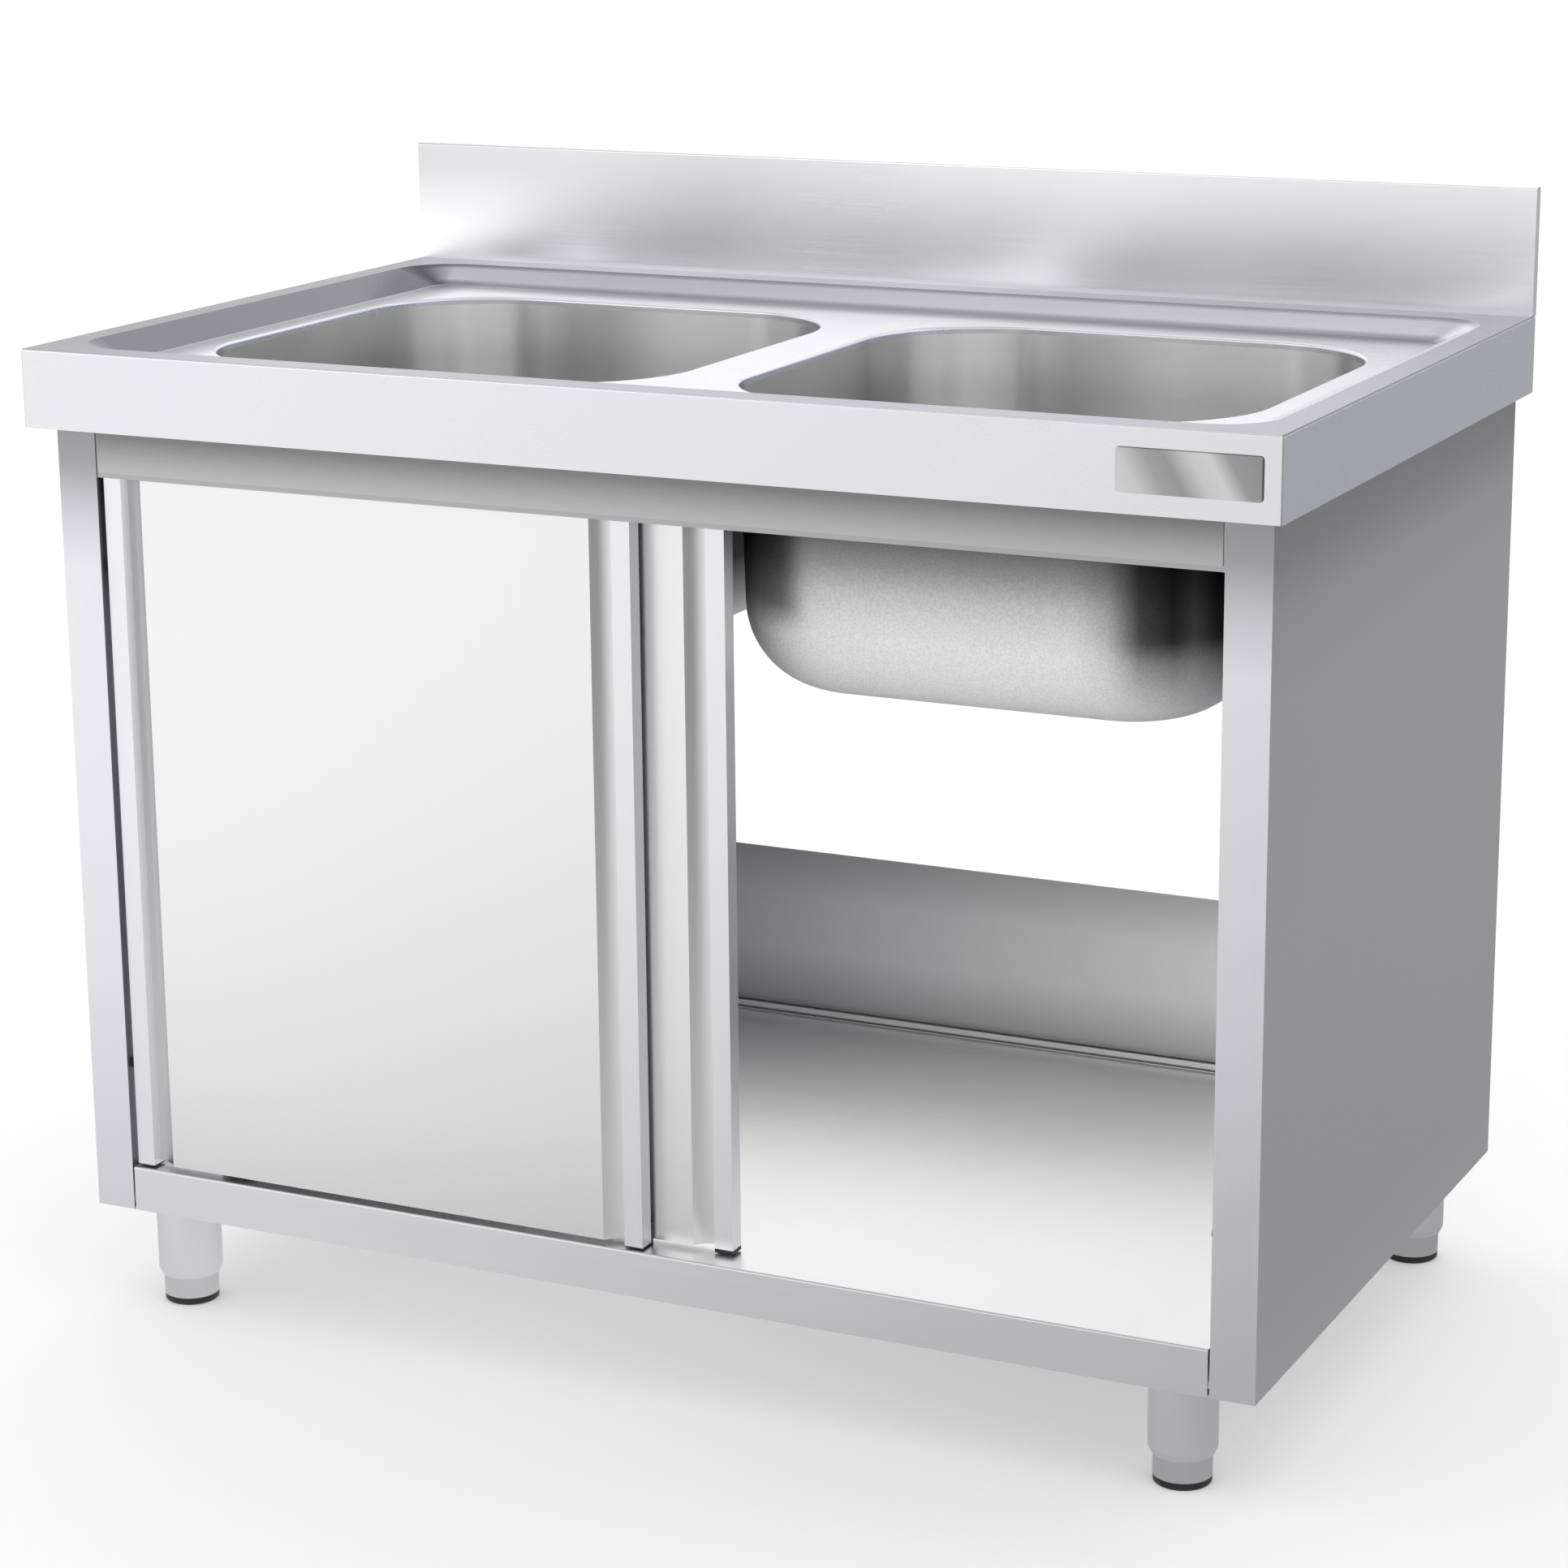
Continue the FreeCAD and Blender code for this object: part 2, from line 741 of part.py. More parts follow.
# ---------------------------------------------------------------- cabinet
def channel_points(low, high, bottom, top, sheet):
    """A U section that opens upwards: (across, up) points."""
    return [(low, bottom), (high, bottom), (high, top), (high - sheet, top),
            (high - sheet, bottom + sheet), (low + sheet, bottom + sheet), (low + sheet, top),
            (low, top)]


def make_stiffeners():
    """Channels under the deck that carry the worktop on the cabinet."""
    sheet = s.stiffener_sheet
    end = body_inner_end - s.stiffener_setback + s.body_sheet
    front = body_front + s.stiffener_setback
    rear = recess_back - s.stiffener_setback
    section_along_x("front_stiffener", channel_points(front, front + s.stiffener_width, body_top,
                                                      deck_underside, sheet), -end, end)
    section_along_x("rear_stiffener", channel_points(rear - s.stiffener_width, rear, body_top,
                                                     deck_underside, sheet), -end, end)
    half = s.centre_stiffener_width / 2
    low_y = front + s.stiffener_width
    body = new_body("centre_stiffener")
    sketch = new_sketch(body, "XZ_Plane", -(rear - s.stiffener_width))
    draw_outline(sketch, channel_points(-half, half, body_top, deck_underside, sheet))
    pad(sketch, rear - s.stiffener_width - low_y)


def make_side_panel(label, side):
    """A side, folded round the front as a post and round the back as a flange."""
    sheet = s.body_sheet
    body = new_body(label)
    plan = new_sketch(body, "XY_Plane", s.body_bottom)
    points = [
        (body_end, body_front),
        (body_end, body_back),
        (body_end - s.rear_flange, body_back),
        (body_end - s.rear_flange, body_back - sheet),
        (body_inner_end, body_back - sheet),
        (body_inner_end, body_front + sheet),
        (post_inner + sheet, body_front + sheet),
        (post_inner + sheet, body_front + s.post_return),
        (post_inner, body_front + s.post_return),
        (post_inner, body_front),
    ]
    draw_outline(plan, [(x * side, y) for x, y in points])
    pad(plan, body_top - s.body_bottom)

    flange = new_sketch(body, "XY_Plane", body_top)
    rail_front = upstand_back - s.rear_rail_depth
    corners = [(body_inner_end, body_front + 2 * sheet), (body_inner_end, rail_front - sheet),
               (body_inner_end - s.top_flange, rail_front - sheet),
               (body_inner_end - s.top_flange, body_front + 2 * sheet)]
    draw_outline(flange, [(x * side, y) for x, y in corners])
    pad(flange, sheet, reverse=True)

    holes = new_sketch(body, "XY_Plane", body_top)
    for y in worktop_screw_rows():
        draw_circle(holes, (body_inner_end - s.screw_inset) * side, y, s.screw_hole_radius)
    pocket(holes, sheet)


def worktop_screw_rows():
    """The screws' places along Y: the middles of the front and rear stiffeners."""
    front = body_front + s.stiffener_setback + s.stiffener_width / 2
    rear = recess_back - s.stiffener_setback - s.stiffener_width / 2
    return front, rear


def screw(x, y, under):
    """A hexagon-headed thread-forming screw, driven upwards from below."""
    head = part_cylinder(s.screw_head_radius, s.screw_head_height, x, y,
                         under - s.screw_head_height)
    shank = part_cylinder(s.screw_radius, s.screw_length, x, y, under)
    return fuse(head, shank)


def drill_stiffener(label):
    """Holes for the worktop screws in the stiffener's web."""
    body = doc.getObject(label)
    row = worktop_screw_rows()[0 if label == "front_stiffener" else 1]
    holes = new_sketch(body, "XY_Plane", body_top)
    for side in (-1, 1):
        draw_circle(holes, (body_inner_end - s.screw_inset) * side, row, s.screw_hole_radius)
    pocket(holes, s.stiffener_sheet, reverse=True)


def make_worktop_screws():
    screws = [screw((body_inner_end - s.screw_inset) * side, y, body_top - s.body_sheet)
              for side in (-1, 1) for y in worktop_screw_rows()]
    group("worktop_screws", screws)


def make_header():
    """The rail over the doors: a face with a flange along its top."""
    sheet = s.body_sheet
    back = body_front + s.header_flange
    section_along_x("header_rail", [
        (body_front, header_bottom),
        (body_front + sheet, header_bottom),
        (body_front + sheet, body_top - sheet),
        (back, body_top - sheet),
        (back, body_top),
        (body_front, body_top),
    ], -rail_end, rail_end)


def make_rear_rail():
    """The channel that joins the sides under the rear of the worktop."""
    sheet = s.body_sheet
    back = upstand_back
    front = back - s.rear_rail_depth
    bottom = body_top - s.rear_rail_height
    section_along_x("rear_rail", [
        (front, bottom), (back, bottom), (back, body_top), (front, body_top),
        (front, body_top - sheet), (back - sheet, body_top - sheet),
        (back - sheet, bottom + sheet), (front, bottom + sheet),
    ], -body_inner_end, body_inner_end)


def make_bottom_shelf():
    """The shelf: a tray folded down at the front as the base rail, with a hem at the back."""
    sheet = s.body_sheet
    shoulder = body_front + s.post_return + s.body_sheet / 2
    body = new_body("bottom_shelf")
    top = new_sketch(body, "XY_Plane", shelf_underside)
    draw_outline(top, [
        (-rail_end, body_front), (rail_end, body_front), (rail_end, shoulder),
        (body_inner_end, shoulder), (body_inner_end, upstand_front),
        (-body_inner_end, upstand_front), (-body_inner_end, shoulder), (-rail_end, shoulder),
    ])
    pad(top, sheet)
    face = new_sketch(body, "XY_Plane", s.body_bottom)
    draw_rectangle(face, -rail_end, rail_end, body_front, body_front + sheet)
    folded = pad(face, s.base_rail_height)

    def is_front_bend(box):
        return lies_flat_at(box, sill_top) and near(box.YMax, body_front)
    fillet(folded, s.worktop_bend, is_front_bend)

    lip = new_sketch(body, "XY_Plane", s.body_bottom)
    draw_rectangle(lip, -rail_end, rail_end, body_front, body_front + s.base_return)
    pad(lip, sheet)
    clear = new_sketch(body, "XY_Plane", s.body_bottom)
    for side in (-1, 1):
        draw_circle(clear, front_foot_x * side, front_foot_y,
                    s.foot_tube_radius + s.foot_hole_gap)
    pocket(clear, sheet, reverse=True)

    skirts = new_sketch(body, "XY_Plane", shelf_underside)
    for side in (-1, 1):
        near_x, far_x = (body_inner_end - sheet) * side, body_inner_end * side
        draw_rectangle(skirts, *((near_x, far_x) if side > 0 else (far_x, near_x)),
                       shoulder, upstand_front)
    pad(skirts, s.shelf_skirt, reverse=True)
    rear_skirt = new_sketch(body, "XY_Plane", shelf_underside)
    draw_rectangle(rear_skirt, -body_inner_end, body_inner_end, upstand_front - sheet,
                   upstand_front)
    pad(rear_skirt, s.shelf_skirt, reverse=True)
    hem = new_sketch(body, "XY_Plane", shelf_underside)
    draw_rectangle(hem, -body_inner_end, body_inner_end, hem_front, upstand_front)
    hemmed = pad(hem, sheet + s.shelf_hem)

    def is_hem_fold(box):
        return lies_flat_at(box, sill_top + s.shelf_hem) and box.XLength > CLOSE
    fillet(hemmed, s.shelf_hem_bend, is_hem_fold)

    slot = new_sketch(body, "XY_Plane", sill_top)
    half_x = s.guide_length / 2 + s.guide_slot_gap
    half_y = s.door_gap / 2 - s.guide_side_gap + s.guide_slot_gap
    draw_rectangle(slot, -half_x, half_x, track_middle_y - half_y, track_middle_y + half_y)
    pocket(slot, sheet)


def make_shelf_stiffener():
    """A hat-section channel along the middle of the shelf's underside."""
    half = s.shelf_stiffener_width / 2
    end = body_inner_end - s.body_sheet
    points = channel_points(-half, half, shelf_underside - s.shelf_stiffener_height,
                            shelf_underside, s.body_sheet)
    section_along_x("shelf_stiffener", points, -end, end)


def make_rear_upstand():
    """The low panel that closes the foot of the open back."""
    plate("rear_upstand", -body_inner_end, body_inner_end, upstand_front, upstand_back,
          shelf_underside - s.shelf_skirt, sill_top + s.upstand_height)


# ---------------------------------------------------------------- doors
def make_door_track():
    """The double track: a top web, a lip below the header, a middle rail and a rear flange."""
    sheet = s.track_sheet
    front = body_front + s.body_sheet
    back = 2 * track_middle_y - front
    web = track_top - sheet
    lip = header_bottom - s.track_lip
    ledge = ledge_bottom
    half = sheet / 2
    wide = half + s.track_ledge_width
    middle = track_middle_y
    section_along_x("door_track", [
        (front, lip), (front + sheet, lip), (front + sheet, web),
        (middle - half, web), (middle - half, ledge + sheet), (middle - wide, ledge + sheet),
        (middle - wide, ledge), (middle + wide, ledge), (middle + wide, ledge + sheet),
        (middle + half, ledge + sheet), (middle + half, web),
        (back - sheet, web), (back - sheet, track_top - s.track_rear_flange),
        (back, track_top - s.track_rear_flange), (back, track_top), (front, track_top),
    ], -post_inner, post_inner)


def door_panel_front(low_x, high_x, y):
    """The panel's front line from left to right: it curves back beside each stile."""
    width, depth = s.pull_width, s.pull_depth
    radius = (width * width + depth * depth) / (2 * depth)
    return [(low_x, y + depth), (low_x + width, y, -radius), (high_x - width, y),
            (high_x, y + depth, -radius)], radius


def make_door(name, low_x, y, glide_height, inward):
    """One sliding door; inward is +1 where the middle rail is behind it, -1 where in front."""
    sheet = s.door_sheet
    high_x = low_x + door_width
    back = y + s.door_thickness
    stile_bottom = sill_top + s.door_floor_gap + glide_height
    panel_bottom = sill_top + s.door_panel_floor_gap
    left, right = low_x + s.stile_width, high_x - s.stile_width
    front_line, radius = door_panel_front(left, right, y)
    inner = radius - sheet

    panel = new_body(f"{name}_panel")
    skin = new_sketch(panel, "XY_Plane", panel_bottom)
    width, depth = s.pull_width, s.pull_depth
    draw_outline(skin, front_line + [
        (right, back - sheet), (right - sheet, back - sheet), (right - sheet, y + depth + sheet),
        (right - width, y + sheet, inner), (left + width, y + sheet),
        (left + sheet, y + depth + sheet, inner), (left + sheet, back - sheet),
        (left, back - sheet),
    ])
    pad(skin, door_top - panel_bottom)

    inner_skin = new_body(f"{name}_back")
    rear = new_sketch(inner_skin, "XY_Plane", panel_bottom)
    draw_rectangle(rear, left, right, back - sheet, back)
    pad(rear, door_top - panel_bottom)
    for bottom in (panel_bottom, door_top - sheet):
        closing = new_sketch(inner_skin, "XY_Plane", bottom)
        draw_outline(closing, [
            (left + sheet, y + depth + sheet), (left + width, y + sheet, -inner),
            (right - width, y + sheet), (right - sheet, y + depth + sheet, -inner),
            (right - sheet, back - sheet), (left + sheet, back - sheet),
        ])
        pad(closing, sheet)

    glides = []
    for label, start in (("left_stile", low_x), ("right_stile", right)):
        stile = new_body(f"{name}_{label}")
        wall = s.stile_sheet
        tube = new_sketch(stile, "XY_Plane", stile_bottom)
        draw_rectangle(tube, start, start + s.stile_width, y, back)
        draw_rectangle(tube, start + wall, start + s.stile_width - wall, y + wall, back - wall)
        pad(tube, door_top - stile_bottom)
        inset = wall + s.glide_plug_gap
        shoe = part_box(start, start + s.stile_width, y, back,
                        stile_bottom - glide_height, stile_bottom)
        plug = part_box(start + inset, start + s.stile_width - inset, y + inset, back - inset,
                        stile_bottom, stile_bottom + s.glide_plug_height)
        glides.append(fuse(shoe, plug))
    group(f"{name}_glides", glides)
    make_rollers(name, low_x, high_x, y + s.door_thickness / 2, inward)


def make_rollers(name, low_x, high_x, middle_y, inward):
    """A door's two hangers, their axles and the wheels that run on the middle rail."""
    plate_y = middle_y - s.hanger_sheet if inward > 0 else middle_y
    wheel_start = middle_y + s.wheel_to_plate * inward
    wheel_end = wheel_start + s.wheel_width * inward
    head_start = wheel_end + s.wheel_rail_gap * inward
    base_top = door_top + s.hanger_base_thickness
    plate_top = track_top - s.track_sheet - s.hanger_top_gap
    hangers = []
    axles = []
    for label, x in (("left", low_x + s.hanger_inset), ("right", high_x - s.hanger_inset)):
        half = s.hanger_length / 2
        base = part_box(x - half, x + half, middle_y - s.hanger_width / 2,
                        middle_y + s.hanger_width / 2, door_top, base_top)
        half = s.hanger_plate_length / 2
        upright = part_box(x - half, x + half, plate_y, plate_y + s.hanger_sheet,
                           base_top, plate_top)
        hole = part_cylinder(s.axle_radius + s.axle_fit, s.hanger_sheet, x, plate_y,
                             wheel_centre_z, ALONG_Y)
        hangers.append(cut(fuse(base, upright), hole))

        low_y = plate_y if inward > 0 else head_start
        long = s.hanger_sheet + s.wheel_to_plate + s.wheel_width + s.wheel_rail_gap
        pin = part_cylinder(s.axle_radius, long, x, low_y, wheel_centre_z, ALONG_Y)
        head_y = head_start if inward > 0 else head_start - s.axle_head_thickness
        head = part_cylinder(s.axle_head_radius, s.axle_head_thickness, x, head_y,
                             wheel_centre_z, ALONG_Y)
        axles.append(fuse(pin, head))
        make_wheel(f"{name}_{label}_wheel", x, wheel_start if inward > 0 else wheel_end)
    group(f"{name}_hangers", hangers)
    group(f"{name}_roller_axles", axles)


def make_wheel(label, x, low_y):
    """A plastic roller with a shallow groove round its tread."""
    width = s.wheel_width
    rim = s.wheel_radius
    floor = rim - s.wheel_groove
    bore = s.axle_radius + s.axle_fit
    bevel_end = s.wheel_rim + s.wheel_bevel
    body = new_body(label)
    body.Placement = FreeCAD.Placement(FreeCAD.Vector(), ALONG_Y)
    move(body, x, low_y, wheel_centre_z)
    profile = new_sketch(body, "XZ_Plane")
    draw_outline(profile, [
        (bore, 0), (rim, 0), (rim, s.wheel_rim), (floor, bevel_end),
        (floor, width - bevel_end), (rim, width - s.wheel_rim), (rim, width), (bore, width),
    ])
    revolve(profile)


def make_door_guide():
    """A plastic fin that stands up between the doors through a slot in the shelf."""
    half_x = s.guide_length / 2
    half_y = s.door_gap / 2 - s.guide_side_gap
    flange_x, flange_y = s.guide_flange_length / 2, s.guide_flange_width / 2
    body = new_body("door_guide")
    flange = new_sketch(body, "XY_Plane", shelf_underside)
    draw_rectangle(flange, -flange_x, flange_x, track_middle_y - flange_y,
                   track_middle_y + flange_y)
    pad(flange, s.guide_flange_thickness, reverse=True)
    fin = new_sketch(body, "XY_Plane", shelf_underside)
    draw_rectangle(fin, -half_x, half_x, track_middle_y - half_y, track_middle_y + half_y)
    pad(fin, s.body_sheet + s.guide_height)


def make_door_buffers():
    """Rubber stops on the posts, one high and one low for each door at each end."""
    buffers = []
    for start in (-post_inner, post_inner - s.buffer_thickness):
        for y in (front_door_y + s.door_thickness / 2, rear_door_y + s.door_thickness / 2):
            for z in (sill_top + s.buffer_above_sill, header_bottom - s.buffer_below_header):
                buffers.append(part_cylinder(s.buffer_radius, s.buffer_thickness, start, y, z,
                                             ALONG_X))
    group("door_buffers", buffers)


# ---------------------------------------------------------------- feet
def make_foot(name, x, y):
    """A socket tube under the shelf, a threaded insert that screws in it, and its plastic pad."""
    tube_inner = s.foot_tube_radius - s.foot_tube_wall
    slide = s.foot_insert_radius + s.foot_slide_fit
    neck_top = s.foot_tube_end + s.foot_neck_height
    plate_bottom = shelf_underside - s.foot_plate_thickness
    insert_top = s.foot_pad_height + s.foot_insert_height
    nut_bottom = insert_top + s.foot_nut_above_insert
    nut_top = nut_bottom + s.foot_nut_height
    thread = s.foot_stem_radius + s.foot_thread_fit

    tube = new_body(f"{name}_foot_tube")
    move(tube, x, y)
    profile = new_sketch(tube, "XZ_Plane")
    draw_outline(profile, [
        (slide, s.foot_tube_end),
        (slide + s.foot_neck_wall, s.foot_tube_end),
        (s.foot_tube_radius, neck_top),
        (s.foot_tube_radius, plate_bottom),
        (s.foot_plate_radius, plate_bottom),
        (s.foot_plate_radius, shelf_underside),
        (0, shelf_underside),
        (0, plate_bottom),
        (tube_inner, plate_bottom),
        (tube_inner, nut_top),
        (thread, nut_top),
        (thread, nut_bottom),
        (tube_inner, nut_bottom),
        (tube_inner, neck_top + s.foot_tube_wall),
        (slide, neck_top),
    ])
    revolve(profile)

    bore = s.foot_insert_radius - s.foot_insert_wall
    insert = new_body(f"{name}_foot_insert")
    move(insert, x, y)
    profile = new_sketch(insert, "XZ_Plane")
    draw_outline(profile, [
        (bore, s.foot_pad_height),
        (s.foot_insert_radius, s.foot_pad_height),
        (s.foot_insert_radius, insert_top),
        (s.foot_stem_radius, insert_top),
        (s.foot_stem_radius, insert_top + s.foot_stem_length),
        (0, insert_top + s.foot_stem_length),
        (0, insert_top - s.foot_insert_wall),
        (bore, insert_top - s.foot_insert_wall),
    ])
    revolve(profile)

    pad_radius = s.foot_insert_radius - s.foot_pad_inset
    foot = new_body(f"{name}_foot_pad")
    move(foot, x, y)
    profile = new_sketch(foot, "XZ_Plane")
    plug = bore - s.foot_pad_inset
    draw_outline(profile, [
        (0, 0),
        (pad_radius - s.foot_neck_wall, 0),
        (pad_radius, s.foot_neck_wall),
        (pad_radius, s.foot_pad_height),
        (plug, s.foot_pad_height),
        (plug, s.foot_pad_height + s.foot_pad_plug),
        (0, s.foot_pad_height + s.foot_pad_plug),
    ])
    revolve(profile)


# ---------------------------------------------------------------- build, check and write
def build():
    make_worktop()
    make_splashback()
    make_badge_plate()
    for name, side in (("left", -1), ("right", 1)):
        make_basin(f"{name}_basin", side)
        make_waste(name, side)
        make_side_panel(f"{name}_side_panel", side)
    make_stiffeners()
    drill_stiffener("front_stiffener")
    drill_stiffener("rear_stiffener")
    make_worktop_screws()
    make_header()
    make_rear_rail()
    make_bottom_shelf()
    make_shelf_stiffener()
    make_rear_upstand()
    make_door_track()
    make_door("front_door", door_low_x, front_door_y, s.front_glide_height, 1)
    make_door("rear_door", door_low_x + s.rear_door_opened, rear_door_y, s.rear_glide_height, -1)
    make_door_guide()
    make_door_buffers()
    for name, x, y in (("front_left", -front_foot_x, front_foot_y),
                       ("front_right", front_foot_x, front_foot_y),
                       ("rear_left", -rear_foot_x, rear_foot_y),
                       ("rear_right", rear_foot_x, rear_foot_y)):
        make_foot(name, x, y)
    doc.recompute()


def sub_parts():
    return [item for item in doc.Objects
            if item.TypeId in ("PartDesign::Body", "Part::Compound")]


def check_document():
    """Every object is computed, every cut cuts and every pad adds, and every node is sound."""
    for item in doc.Objects:
        if "Invalid" in item.State or "Error" in item.State:
            raise RuntimeError(f"{item.Label} failed: {item.State}")
        if item.TypeId in ("PartDesign::Pocket", "PartDesign::Pad") and item.BaseFeature:
            change = item.Shape.Volume - item.BaseFeature.Shape.Volume
            if (change > -CLOSE) == (item.TypeId == "PartDesign::Pocket"):
                raise RuntimeError(f"{item.Label} changes nothing")
    for item in sub_parts():
        if item.Shape.isNull() or not item.Shape.isValid():
            raise RuntimeError(f"{item.Label} has no sound shape")


def write_parts():
    os.makedirs("parts", exist_ok=True)
    for item in sub_parts():
        item.Shape.exportStep(f"parts/{item.Label}.step")
        print(f"{item.Label}: {len(item.Shape.Solids)} solid(s), {item.Shape.Volume:.0f} mm3")


build()
check_document()
write_parts()
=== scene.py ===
import math

import bmesh
import bpy
from mathutils import Matrix, Vector

# Looks for the stainless sink unit: a pale studio, the photograph's camera, and worked steel, rubber
# and plastic on every piece. Metres, +Z up, the floor at Z = 0.

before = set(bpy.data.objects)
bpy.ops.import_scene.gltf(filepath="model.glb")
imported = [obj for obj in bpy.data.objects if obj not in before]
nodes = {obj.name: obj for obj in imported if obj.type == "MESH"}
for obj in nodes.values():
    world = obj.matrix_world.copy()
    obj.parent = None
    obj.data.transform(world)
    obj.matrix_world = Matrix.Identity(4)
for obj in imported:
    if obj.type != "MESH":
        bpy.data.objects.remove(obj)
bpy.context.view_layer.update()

WHITE = (1.0, 1.0, 1.0)


# ---------------------------------------------------------------- node helpers
class Graph:
    """A material's or world's node tree, with short calls for the nodes used here."""

    def __init__(self, owner):
        owner.use_nodes = True
        self.tree = owner.node_tree
        self.tree.nodes.clear()

    def add(self, kind, **settings):
        node = self.tree.nodes.new(kind)
        for name, value in settings.items():
            setattr(node, name, value)
        return node

    def link(self, output, target):
        self.tree.links.new(output, target)

    def put(self, node, socket, value):
        """A number or colour is set on the socket; a socket is linked to it."""
        target = node.inputs[socket]
        if isinstance(value, bpy.types.NodeSocket):
            self.link(value, target)
        elif target.type == "RGBA":
            target.default_value = (*value, 1.0)
        else:
            target.default_value = value

    def math(self, operation, first, second=0.0):
        node = self.add("ShaderNodeMath", operation=operation)
        self.put(node, 0, first)
        self.put(node, 1, second)
        return node.outputs[0]

    def axes(self, vector):
        """A vector's X, Y and Z."""
        split = self.add("ShaderNodeSeparateXYZ")
        self.link(vector, split.inputs[0])
        return [split.outputs[name] for name in "XYZ"]

    def place(self):
        """The piece's own X, Y and Z in metres."""
        return self.axes(self.add("ShaderNodeTexCoord").outputs["Object"])

    def facing(self, axis):
        """How far the surface faces along an axis, from -1 to 1."""
        normal = self.add("ShaderNodeNewGeometry").outputs["Normal"]
        return self.axes(normal)["XYZ".index(axis)]

    def coordinates(self, scale=(1.0, 1.0, 1.0)):
        """The piece's own coordinates in metres, times a scale for each axis."""
        mapping = self.add("ShaderNodeMapping")
        mapping.inputs["Scale"].default_value = scale
        source = self.add("ShaderNodeTexCoord")
        self.link(source.outputs["Object"], mapping.inputs["Vector"])
        return mapping.outputs["Vector"]

    def noise(self, vector, scale=1.0, detail=2.0, roughness=0.5, distortion=0.0):
        node = self.add("ShaderNodeTexNoise")
        for socket, value in (("Vector", vector), ("Scale", scale), ("Detail", detail),
                              ("Roughness", roughness), ("Distortion", distortion)):
            self.put(node, socket, value)
        return node.outputs["Fac"]

    def remap(self, value, low, high, start=0.0, end=1.0):
        """A value that goes from low to high while the given one goes from start to end."""
        node = self.add("ShaderNodeMapRange")
        for socket, number in (("Value", value), ("From Min", start), ("From Max", end),
                               ("To Min", low), ("To Max", high)):
            self.put(node, socket, number)
        return node.outputs["Result"]

    def rise(self, value, start, end):
        """0 up to the start, 1 from the end on."""
        return self.remap(value, 0.0, 1.0, start, end)

    def fall(self, value, start, end):
        """1 up to the start, 0 from the end on."""
        return self.remap(value, 1.0, 0.0, start, end)

    def ramp(self, factor, stops):
        """A grey that follows a factor through (position, grey) stops."""
        node = self.add("ShaderNodeValToRGB")
        elements = node.color_ramp.elements
        while len(elements) < len(stops):
            elements.new(0.5)
        for element, (position, grey) in zip(elements, stops):
            element.position = position
            element.color = (grey, grey, grey, 1.0)
        self.link(factor, node.inputs["Fac"])
        return node.outputs["Color"]

    def levels(self, value, stops):
        """A grey that follows a coordinate through (metres, grey) stops."""
        start, end = stops[0][0], stops[-1][0]
        length = end - start
        return self.ramp(self.rise(value, start, end),
                         [((place - start) / length, grey) for place, grey in stops])

    def times(self, first, second):
        """The product of two colours."""
        node = self.add("ShaderNodeVectorMath", operation="MULTIPLY")
        self.put(node, 0, first)
        self.put(node, 1, second)
        return node.outputs["Vector"]

    def all_of(self, first, *others):
        """The product of several masks."""
        product = first
        for mask in others:
            product = self.math("MULTIPLY", product, mask)
        return product

    def blend(self, factor, first, second):
        """One number or the other."""
        node = self.add("ShaderNodeMix", data_type="FLOAT")
        for index, value in ((0, factor), (2, first), (3, second)):
            self.put(node, index, value)
        return node.outputs[0]

    def mix(self, factor, first, second):
        """One colour or the other."""
        node = self.add("ShaderNodeMix", data_type="RGBA")
        for index, value in ((0, factor), (6, first), (7, second)):
            self.put(node, index, value)
        return node.outputs[2]

    def bump(self, height, strength, distance):
        node = self.add("ShaderNodeBump")
        for socket, value in (("Height", height), ("Strength", strength), ("Distance", distance)):
            self.put(node, socket, value)
        return node.outputs["Normal"]

    def principled(self, **sockets):
        """The principled shader with the given sockets, and the material's output."""
        shader = self.add("ShaderNodeBsdfPrincipled")
        for name, value in sockets.items():
            self.put(shader, name.replace("_", " "), value)
        self.end_with("Material", shader.outputs["BSDF"])
        return shader

    def end_with(self, kind, shader):
        output = self.add("ShaderNodeOutput" + kind)
        self.link(shader, output.inputs["Surface"])


def new_material(name):
    material = bpy.data.materials.new(name)
    return material, Graph(material)


# ---------------------------------------------------------------- materials
# Marks per metre along the grain and across it.
GRAIN_SCALE = (5.0, 800.0)
STREAK_SCALE = (1.5, 160.0)
GRAIN_SHARE, STREAK_SHARE = 0.7, 0.3
# Where most of a noise's values lie.
NOISE_RANGE = (0.3, 0.7)
SHEET_BUMP, TURNED_BUMP, SKIN_BUMP, FROST_BUMP = 0.0001, 0.0001, 0.0003, 0.0003
# A sheet counts as turned down at its left and right where it faces this far along X.
TURNED_DOWN = 0.2


def by_axis(axis, along, across):
    """One value for the given axis, another for the two across it."""
    return tuple(along if name == axis else across for name in "XYZ")


def shades(colour, amount):
    """A colour a little darker and a little lighter."""
    darker = tuple(c * (1 - amount) for c in colour)
    lighter = tuple(min(c * (1 + amount), 1.0) for c in colour)
    return darker, lighter


def ground_grain(g, grain):
    """The belt's fine straight marks and its fainter streaks, along one axis."""
    fine = g.noise(g.coordinates(by_axis(grain, *GRAIN_SCALE)))
    streak = g.noise(g.coordinates(by_axis(grain, *STREAK_SCALE)))
    return g.math("ADD", g.math("MULTIPLY", fine, GRAIN_SHARE),
                  g.math("MULTIPLY", streak, STREAK_SHARE))


